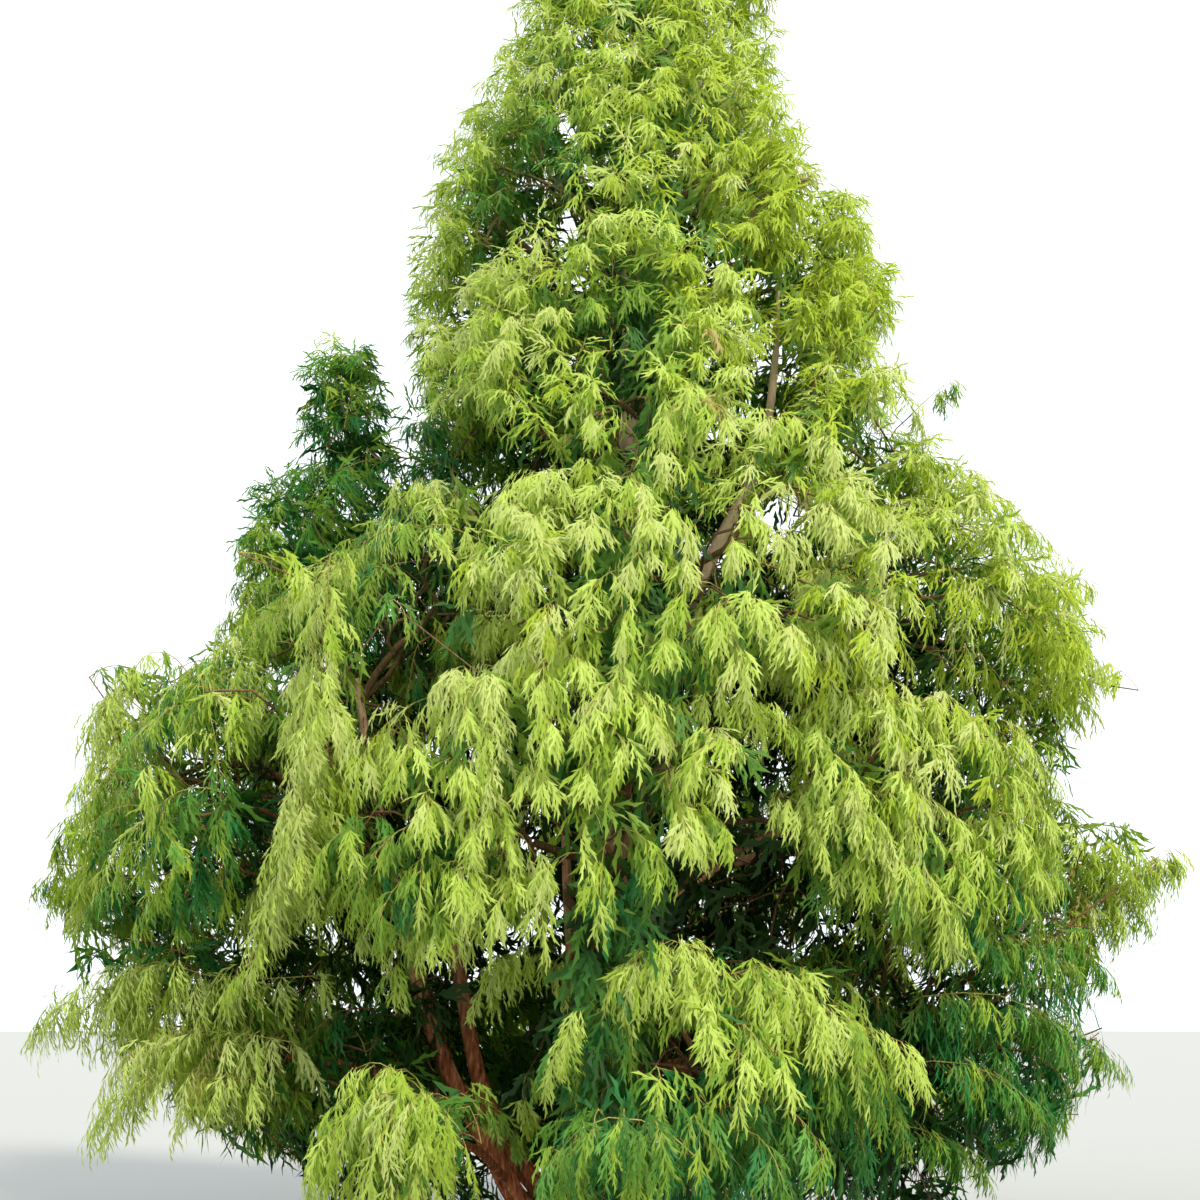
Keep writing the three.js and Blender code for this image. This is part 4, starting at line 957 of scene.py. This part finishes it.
branch_parts = []
end_p, end_m = [], []
fill_p, fill_m, fill_w = [], [], []       # places on the thinner branches where inner sprays may grow
for k, m in enumerate(masses):
    mine = np.nonzero(MI == k)[0]
    if not len(mine):
        continue
    bases = spines[mine, 0]
    if m.name in BOUGH_END:
        root, r_root, _ = BOUGH_END[m.name]
    elif m.name == "spray_right":
        root, r_root = BOUGH_END["skirt_right"][0] + np.array([0.1, 0, 0.02]), 0.02
    else:
        stem = STEM_OF.get(m.name, "trunk")
        top = STEMS[stem][0][-1][2]
        z = min(max(m.centre[2] - 0.35, STEMS[stem][0][0][2] + 0.4), top - 0.15)
        root, r_root = stem_at_height(stem, z), 0.03 if z < 7 else 0.02
    backing = BACKING[BACKING_MASS == k]
    n_core = int(np.clip(8 + 4.5 * m.volume, 8, 34))
    inner = m.centre + (bases[RNG.integers(0, len(bases), n_core)] - m.centre) * RNG.uniform(0.15, 0.85, (n_core, 1)) + RNG.normal(scale=0.10, size=(n_core, 3))
    for owner, middle, half, count in DARK_FILL:
        if owner == m.name:
            extra = np.array(middle) + np.array(half) * RNG.uniform(-1, 1, (count, 3))
            inner = np.vstack([inner, extra[~beyond_reach(extra, -0.16)]])
    inner = np.vstack([inner, backing])
    inner[:, 2] = np.maximum(inner[:, 2], 0.3)
    pts, parent = spanning(root, np.vstack([inner, bases]))
    n_in = 1 + len(inner)
    end_p.extend(2 * list(pts[n_in - len(backing):n_in]))
    end_m.extend([k] * 2 * len(backing))
    kids = [[] for _ in pts]
    for j in range(1, len(pts)):
        kids[parent[j]].append(j)
    load = np.zeros(len(pts))
    stack = [(0, False)]
    while stack:
        q, done = stack.pop()
        if done:
            load[q] = (1 if q >= n_in or not kids[q] else 0) + sum(load[c] for c in kids[q])
        else:
            stack.append((q, True))
            stack.extend((c, False) for c in kids[q])
    move = pts.copy()
    for j in range(1, len(pts)):
        if kids[j] and j < n_in:
            ring = [parent[j]] + kids[j]
            move[j] = 0.5 * pts[j] + 0.5 * pts[ring].mean(0)
    pts = move
    size = np.minimum(0.0044 * np.sqrt(np.maximum(load, 1)), r_root)
    chains = [(0, c) for c in kids[0] if load[c] > 0]
    while chains:
        a, b = chains.pop()
        chain = [a, b]
        while True:
            nxt = [c for c in kids[chain[-1]] if load[c] > 0]
            if not nxt:
                break
            nxt.sort(key=lambda c: -load[c])
            chains.extend((chain[-1], c) for c in nxt[1:])
            chain.append(nxt[0])
        line = pts[chain]
        rr = size[chain].copy()
        rr[0] = rr[1]
        steps = 2 * (len(chain) - 1) + 1 + (len(chain) == 2)
        t = np.linspace(0, 1, steps)
        c = catmull(line, t) if len(line) > 2 else line[0] + (line[1] - line[0]) * t[:, None]
        sag = np.linalg.norm(line[-1] - line[0]) * 0.05
        c = c + (UP * sag) * np.sin(math.pi * t)[:, None]
        c[1:-1] += 0.012 * RNG.normal(size=(len(c) - 2, 3))
        c = round_gap(c)
        radii = np.interp(t * (len(rr) - 1), np.arange(len(rr)), rr)
        branch_parts.append(prisms(c[None], radii[None], 6 if rr[0] > 0.018 else 4, RNG))
        for u in (0.25, 0.6, 0.95):
            q = c[:-1] * (1 - u) + c[1:] * u
            w = np.linalg.norm(c[1:] - c[:-1], axis=1) * (radii[1:] < 0.02)
            fill_p.append(q)
            fill_w.append(w)
            fill_m.append(np.full(len(q), k))
        if chain[-1] < n_in:
            end_p.append(c[-1])
            end_m.append(k)

spine_r = np.linspace(1, 0.3, SEG + 1)[None] * (0.0040 * (0.85 + 0.3 * RNG.random(len(spines))))[:, None]
spine_part = prisms(spines, spine_r, 3, RNG)
for line, r in TWIG_LINES:
    c = catmull(line, np.linspace(0, 1, 3 * len(line)))
    branch_parts.append(prisms(c[None], np.linspace(r, 0.35 * r, len(c))[None], 6, RNG))


# ---------------------------------------------------------------- sprays on the plumes
def tangent_at(paths, s):
    """Point and tangent on each path at share s."""
    k = paths.shape[1] - 1
    x = np.clip(s * k, 0, k - 1e-6)
    i = np.floor(x).astype(int)
    w = (x - i)[:, None]
    r = np.arange(len(paths))
    return paths[r, i] * (1 - w) + paths[r, i + 1] * w, unit(paths[r, i + 1] - paths[r, i])


PER = 7
idx = np.tile(np.arange(n_plain), PER + 1)
order_j = np.repeat(np.arange(PER + 1), n_plain)
last = order_j == PER
s = np.where(last, 0.985, np.clip(0.14 + 0.84 * (order_j + 0.5) / PER + 0.03 * RNG.normal(size=len(idx)), 0.03, 0.98))
p, t = tangent_at(spines[idx], s)
tuft, big = TUFT[idx], BIG[idx]
roll = 2.39996 * order_j + (RNG.random(n_plain) * 2 * math.pi)[idx] + 0.35 * RNG.normal(size=len(idx))
e1 = unit(np.cross(t, UP + 0.001))
e2 = np.cross(e1, t)
flat = 0.55 + 0.45 * tuft
round_dir = e1 * np.cos(roll)[:, None] + e2 * (np.sin(roll) * flat)[:, None]
r1, r2 = RNG.random(len(idx)), RNG.random(len(idx))
d = round_dir * (1.0 - 0.45 * s)[:, None] + t * (0.40 + 0.30 * s)[:, None] + UP * (0.10 + 0.25 * r1)[:, None] + 0.30 * RNG.normal(size=p.shape)
d = np.where(last[:, None], t + 0.15 * RNG.normal(size=p.shape), d)
length = np.where(last, 0.12 + 0.05 * r2, (0.215 - 0.07 * s) * (0.66 + 0.68 * r2)) * big * (1.06 - 0.16 * tuft)
sag = (1.5 + 1.0 * RNG.random(len(idx))) * (1 - tuft) + (0.5 + 0.7 * RNG.random(len(idx))) * tuft
axes = grow(p, unit(d), length, sag, 3, 0.8)
S_IDX, S_S, S_TONE, S_DRESS = idx, s, np.full(len(idx), np.nan), np.zeros(len(idx), int)
S_TOP = np.sin(roll) * e2[:, 2] + np.cos(roll) * e1[:, 2]

# fringes of the garlands
for g, (owner, line, fringe, tone) in enumerate(GARLANDS):
    n = int(g_size[g] / 0.024)
    j = n_plain + g
    s = np.sort(RNG.random(n)) * 0.98 + 0.01
    s[:3], s[-3:] = (0.005, 0.01, 0.015), (0.985, 0.99, 0.995)
    path = np.repeat(spines[j][None], n, 0)
    p, t = tangent_at(path, s)
    p = p + 0.022 * RNG.normal(size=p.shape)
    side = unit(np.cross(t, UP + 0.01 * RNG.normal(size=t.shape))) * np.where(np.arange(n) % 2, 1.0, -1.0)[:, None]
    out = unit(p - np.concatenate([leader_at(p[:, 2]), p[:, 2:]], 1))
    ends = (np.arange(n) > n - 4).astype(float) - (np.arange(n) < 3).astype(float)
    d = side * 0.55 + out * 0.30 + t * (0.25 + 0.9 * ends)[:, None] + UP * (0.10 + 0.75 * RNG.random(n))[:, None] + 0.3 * RNG.normal(size=p.shape)
    length = fringe * (0.66 + 0.5 * RNG.random(n)) * np.where(ends != 0, 0.75, 1.0)
    a = grow(p, unit(d), length, 2.4 + 1.2 * RNG.random(n), 3, 0.7)
    axes = np.concatenate([axes, a])
    S_IDX = np.append(S_IDX, np.full(n, j))
    S_S = np.append(S_S, s)
    S_TOP = np.append(S_TOP, np.zeros(n))
    S_TONE = np.append(S_TONE, tone + 0.14 * RNG.normal(size=n))
    S_DRESS = np.append(S_DRESS, np.full(n, 1 if fringe < 0.3 else 2))

S_MASS = MI[S_IDX]
gone = window_share(axes[:, 2])
ok = (RNG.random(len(axes)) >= gone) & ~in_sky_gap(axes[:, 1], 0.9) & ~in_sky_gap(axes[:, 3], 0.7) & (axes[:, 3, 2] > 0.08)
ok &= (S_IDX >= n_plain) | IS_LOBE[S_MASS] | ~beyond_reach(axes[:, 2], 0.05)
axes, S_IDX, S_S, S_TONE, S_DRESS, S_TOP, S_MASS = (a[ok] for a in (axes, S_IDX, S_S, S_TONE, S_DRESS, S_TOP, S_MASS))

# colour of each spray, partly painted light and shade: lighter where its plume is open to the light, towards the outer
# end of its plume and where the spray points up; lighter or darker, cooler or warmer, by the painted light and shade of
# its place; and by chance
where = axes[:, 1]
place, cool = light_of(where)
plume_chance = RNG.normal(size=len(spines))[S_IDX]
tone = (0.66 + 0.25 * (OP[S_IDX] - 0.6) + 0.12 * noise(where * 0.9 + 40, 3) + 0.10 * noise(where * 2.9, 4) + 0.09 * plume_chance
        + 0.30 * (S_S - 0.6) + 0.12 * S_TOP + 0.075 * RNG.normal(size=len(axes)) + place)
tone = np.where(np.isnan(S_TONE), tone, S_TONE)
# garlands painted darker take more of the bluish hue of painted shade
cool = np.where(np.isnan(S_TONE), cool, np.where(S_TONE < 0.62, 0.8, 0.15) * cool)
tint = RAMP[np.searchsorted(STEPS, tone)]
tint = np.where((tint == INNER) & (tone > -0.12), DEEP, tint)
# warm is the yellow of painted sunlight, cool the bluish green of painted shade
warm = np.clip(-cool, 0, 1)
cool = np.clip(cool, 0, 1)
r2 = RNG.random(len(axes))
tint[(tint == PALE) & (r2 < warm * 0.8)] = YELLOW
tint[(tint == STRAW) & (r2 < warm)] = YELLOW
tint[(tint == LIME) & (r2 < warm * 0.6)] = YELLOW
tint[np.isin(tint, [DEEP, GREEN]) & (r2 < 0.75 * cool)] = COOL
tint[(tint == LEAF) & (r2 < 0.9 * cool)] = SHADE_LEAF
tint[(r2 > 0.996) & (tone > 0.5)] = TAN

# ---------------------------------------------------------------- inner sprays, plainer, and painted darker as the shade inside the crown
fill_p, fill_w, fill_m = np.concatenate(fill_p), np.concatenate(fill_w), np.concatenate(fill_m)
hull, far = hull_at(fill_p)
fill_w = fill_w * np.where(IS_TIER[fill_m], 0.5 + 1.3 * np.clip(far / hull, 0, 1) ** 2, 1.2)
fill_w = fill_w * (window_share(fill_p) < 0.5) * ~in_sky_gap(fill_p, 2.2) * (fill_p[:, 2] > 0.12)
small = np.array([m.name.startswith(("column", "spray", "tip")) for m in masses])
fill_w = fill_w * np.where(small[fill_m], 0.35, 1.0)
pick = RNG.choice(len(fill_p), 3500, p=fill_w / fill_w.sum())
ip, im = np.vstack([fill_p[pick] + 0.02 * RNG.normal(size=(len(pick), 3)), end_p]), np.append(fill_m[pick], end_m).astype(int)
inner_axes = grow(ip, unit(RNG.normal(size=ip.shape)), RNG.uniform(0.14, 0.30, len(ip)), np.full(len(ip), 1.4), 3, 0.8)
ok = IS_LOBE[im] | ~beyond_reach(inner_axes[:, 3], -0.2)
inner_axes, im = inner_axes[ok], im[ok]
print("sprays", len(axes), "inner", len(inner_axes))


# ---------------------------------------------------------------- feathers
def blades(spec, width, bend=0.2, fold=0.25):
    """A feather of narrow blades, each one triangle pointed at both ends, fanned along its length."""
    co, faces = [], []
    for x0, y0, x1, y1, side in spec:
        root, tip = np.array([x0, y0]), np.array([x1, y1])
        run = tip - root
        perp = np.array([-run[1], run[0]]) / np.linalg.norm(run)
        belly = root + 0.42 * run + perp * width * side
        for q in (root, belly, tip):
            co.append([q[0], q[1], -bend * q[0] ** 2 - fold * abs(q[1])])
        n = len(co)
        faces.append([n - 3, n - 2, n - 1] if side < 0 else [n - 3, n - 1, n - 2])
    return np.array(co), np.array(faces)


FAN_A = [(0.00, 0.00, 0.44, 0.13, -1), (0.16, 0.00, 0.62, -0.12, 1), (0.36, 0.00, 0.82, 0.09, -1), (0.52, 0.00, 1.00, -0.03, 1)]
FAN_B = [(0.00, 0.00, 0.42, -0.14, 1), (0.18, 0.00, 0.64, 0.11, -1), (0.34, 0.00, 0.78, -0.10, 1), (0.50, 0.00, 0.98, 0.05, -1)]
FAN_C = FAN_A + [(0.60, 0.00, 0.98, -0.13, 1)]
SHAPES = [blades(FAN_A, 0.088), blades(FAN_B, 0.084, 0.3, 0.15)]
UNDER_SHAPES = [blades(FAN_A, 0.100), blades(FAN_B, 0.096, 0.3)]
FRINGE_SHAPES = [blades(FAN_C, 0.076, 0.16, 0.3), blades(FAN_B, 0.078, 0.3)]
INNER_SHAPES = [blades(FAN_A, 0.105), blades(FAN_B, 0.10)]
DEEP_SHAPES = [blades(FAN_A, 0.145), blades(FAN_B, 0.14)]


def dress(paths, count, length, shapes, rng, middle, lo=0.08, hang=0.62):
    """Feathers along spray axes: for each shape (origin, direction, side, outward, length, spray)."""
    out = [[] for _ in shapes]
    n = len(paths)
    hang = np.broadcast_to(hang, (n,))[:, None]
    face = unit(paths[:, 1] * np.array([1, 1, 0]) - np.concatenate([leader_at(paths[:, 1, 2]), np.zeros((n, 1))], 1))
    for j in range(count):
        last = j == count - 1
        s = np.full(n, 0.99) if last else lo + (0.97 - lo) * (j + 0.6 * rng.random(n)) / count
        p, t = tangent_at(paths, s)
        ref = unit(np.cross(t, UP + 0.02 * rng.normal(size=t.shape)))
        puff = unit(p - middle)
        turn = rng.normal(scale=1.0, size=n) + (0 if j % 2 else math.pi)
        sd = ref * np.cos(turn)[:, None] + np.cross(t, ref) * np.sin(turn)[:, None]
        spread = 0.08 if last else 0.46
        d = unit(t * 0.55 + sd * spread + DOWN * hang + 0.10 * rng.normal(size=t.shape))
        sv = unit(np.cross(d, 0.6 * face + 0.7 * puff + 0.2 * UP + 0.42 * rng.normal(size=t.shape)))
        ln = length * (0.8 + 0.4 * rng.random(n)) * (1.0 - 0.2 * s)
        pick = rng.integers(0, len(shapes), n)
        for q in range(len(shapes)):
            sel = pick == q
            out[q].append((p[sel], d[sel], sv[sel], puff[sel], ln[sel], np.nonzero(sel)[0]))
    return [tuple(np.concatenate(c) for c in zip(*o)) for o in out]


LO = np.array(CAD_BOX[0]) - np.array([0.15, 0.13, 0.0]) + np.array([0, 0, 0.015])
HI = np.array(CAD_BOX[1]) + np.array([0.15, 0.13, 0.2])
soup = []     # feather vertices, their normals, faces of one, tint, mass


def gather(dressed, shapes, tints, owner, rng, free, slack=0.09):
    for shape, (p, d, sv, puff, ln, which) in zip(shapes, dressed):
        local, faces = shape
        tip = p + d * ln[:, None]
        good = np.all((tip > LO) & (tip < HI) & (p > LO) & (p < HI), axis=1) & ~in_sky_gap(tip, 0.6)
        good &= rng.random(len(p)) >= window_share(0.5 * (p + tip))
        good &= free[which] | ~beyond_reach(tip, slack)
        p, d, sv, puff, ln, which = p[good], d[good], sv[good], puff[good], ln[good], which[good]
        nrm = np.cross(sv, d)
        co = p[:, None] + ln[:, None, None] * (local[None, :, 0:1] * d[:, None] + local[None, :, 1:2] * sv[:, None] + local[None, :, 2:3] * nrm[:, None])
        co[:, :, 2] = np.maximum(co[:, :, 2], 0.006)
        # every blade is wound to face out of its plume, and is shaded partly as that rounded plume
        tri = co.reshape(len(co), -1, 3, 3)
        g = unit(np.cross(tri[:, :, 1] - tri[:, :, 0], tri[:, :, 2] - tri[:, :, 0]))
        turned = np.einsum("nbk,nk->nb", g, puff) < 0
        tri[turned] = tri[turned][:, [0, 2, 1]]
        g[turned] *= -1
        soft = unit(0.45 * g + 0.85 * puff[:, None])
        soup.append((tri.reshape(len(co), -1, 3), np.repeat(soft, 3, axis=1), np.arange(tri.shape[1] * 3).reshape(-1, 3), tints[which], owner[which]))


S_HANG = (0.66 - 0.20 * TUFT + np.where(np.arange(len(spines)) < n_plain, 0.13, 0.0) * RNG.normal(size=len(spines)))[S_IDX]
S_FREE = (S_IDX >= n_plain) | IS_LOBE[S_MASS]
# the middle that the feathers of a spray face away from: the inside of its plume
away = unit(axes[:, 0] * np.array([1, 1, 0]) - np.concatenate([leader_at(axes[:, 0, 2]), np.zeros((len(axes), 1))], 1))
S_MID = np.where((S_IDX < n_plain)[:, None], 0.45 * spines[S_IDX, 0] + 0.55 * spines[S_IDX, SEG], axes[:, 0]) - 0.10 * UP - 0.08 * away
inner_mid = inner_axes[:, 0] - 0.3 * unit(inner_axes[:, 0] - np.concatenate([leader_at(inner_axes[:, 0, 2]), inner_axes[:, 0, 2:] - 0.3], 1))
S_DRESS[(S_DRESS == 0) & (S_S < 0.5)] = 3
for kind, count, size, shapes in ((0, 9, 0.155, SHAPES), (3, 8, 0.180, UNDER_SHAPES), (1, 9, 0.142, FRINGE_SHAPES), (2, 13, 0.150, FRINGE_SHAPES)):
    sel = np.nonzero(S_DRESS == kind)[0]
    gather(dress(axes[sel], count, size, shapes, RNG, S_MID[sel], hang=S_HANG[sel]), shapes, tint[sel], S_MASS[sel], RNG, S_FREE[sel])
# Inner sprays are painted darker the deeper inside the crown they sit, and darker behind than in front: painted shade.
# The painted light and shade of their place and its bluish shade hue are added, and the rest is chance.
depth = np.where(IS_TIER[im], np.subtract(*hull_at(inner_axes[:, 0])), np.where(inner_axes[:, 0, 1] > -0.3, 0.7, 0.5))
inner_place, inner_cool = light_of(inner_axes[:, 0])
inner_tint = RAMP[np.clip(3.9 - 2.8 * depth + 2.0 * inner_place + 0.6 * RNG.normal(size=len(im)), 0, 3.9).astype(int)]
inner_tint[np.isin(inner_tint, [DEEP, GREEN]) & (RNG.random(len(im)) < 0.8 * inner_cool)] = COOL
inner_tint[(inner_tint == LEAF) & (RNG.random(len(im)) < 0.8 * inner_cool)] = SHADE_LEAF
for sel, shapes in ((np.nonzero(depth < 0.55)[0], INNER_SHAPES), (np.nonzero(depth >= 0.55)[0], DEEP_SHAPES)):
    gather(dress(inner_axes[sel], 6, 0.25, shapes, RNG, inner_mid[sel], hang=0.3), shapes, inner_tint[sel], im[sel], RNG, IS_LOBE[im[sel]], -0.05)

TIER_ORDER = ["tip", "peak", "high", "upper", "middle", "lobe", "broad", "column", "lower", "spray", "skirt"]


def tier_rank(name):
    return next(i for i, t in enumerate(TIER_ORDER) if name.startswith(t))


mass_order = sorted(range(len(masses)), key=lambda k: (tier_rank(masses[k].name), masses[k].name))
counts = np.zeros(len(masses), int)
for co, nv, faces, tn, ow in soup:
    counts += np.bincount(ow, minlength=len(masses)) * len(faces)
total = counts.sum()
groups, cur, acc = [], [], 0
for k in mass_order:
    if acc + counts[k] > 170000 and cur:
        groups.append(cur)
        cur, acc = [], 0
    cur.append(k)
    acc += counts[k]
groups.append(cur)
for g, group in enumerate(groups):
    vs, ns, fs, ms, base = [], [], [], [], 0
    for co, nv, faces, tn, ow in soup:
        sel = np.isin(ow, group)
        c = co[sel]
        n, k = c.shape[:2]
        if not n:
            continue
        vs.append(c.reshape(-1, 3))
        ns.append(nv[sel].reshape(-1, 3))
        fs.append((faces[None] + (np.arange(n) * k)[:, None, None]).reshape(-1, 3) + base)
        ms.append(np.repeat(tn[sel], len(faces)))
        base += n * k
    o = mesh_object(f"needles_{g + 1:02d}", np.concatenate(vs), np.concatenate(fs), NEEDLES, np.concatenate(ms), smooth=True)
    o.data.normals_split_custom_set_from_vertices(np.concatenate(ns).astype(np.float32))
    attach(o, "root")
    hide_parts(*["foliage_" + masses[k].name for k in group])


# ---------------------------------------------------------------- twigs
def join(parts):
    vs, fs, base = [], [], 0
    for co, f in parts:
        vs.append(co)
        fs.append(f + base)
        base += len(co)
    return np.concatenate(vs), np.concatenate(fs)


co, f = join(branch_parts)
co = np.clip(co, LO, HI)
o = mesh_object("branches", co, f, [TWIG], smooth=True)
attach(o, "root")
n_branch = len(f)


def shoots(paths, radius):
    """Three-sided shoots with a pointed end."""
    n = len(paths)
    a, c = paths[:, 0], paths[:, 2]
    t = unit(c - a)
    u = unit(np.cross(t, UP + 0.1))
    v = np.cross(t, u)
    co = np.stack([a + (u * math.cos(q) + v * math.sin(q)) * radius[:, None] for q in (0, 2 * math.pi / 3, 4 * math.pi / 3)] + [c], 1)
    f = np.array([[0, 1, 3], [1, 2, 3], [2, 0, 3]])
    return co.reshape(-1, 3), (f[None] + (np.arange(n) * 4)[:, None, None]).reshape(-1, 3)


co, f = join([shoots(axes, 0.0024 + 0.0010 * RNG.random(len(axes))), spine_part])
co = np.clip(co, LO, HI)
o = mesh_object("shoots", co, f, [SHOOT])
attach(o, "root")
n_shoot = len(f)

print("triangles: needles", total, "branches", n_branch, "shoots", n_shoot, "limbs", limb_count, "all", total + n_branch + n_shoot + limb_count)
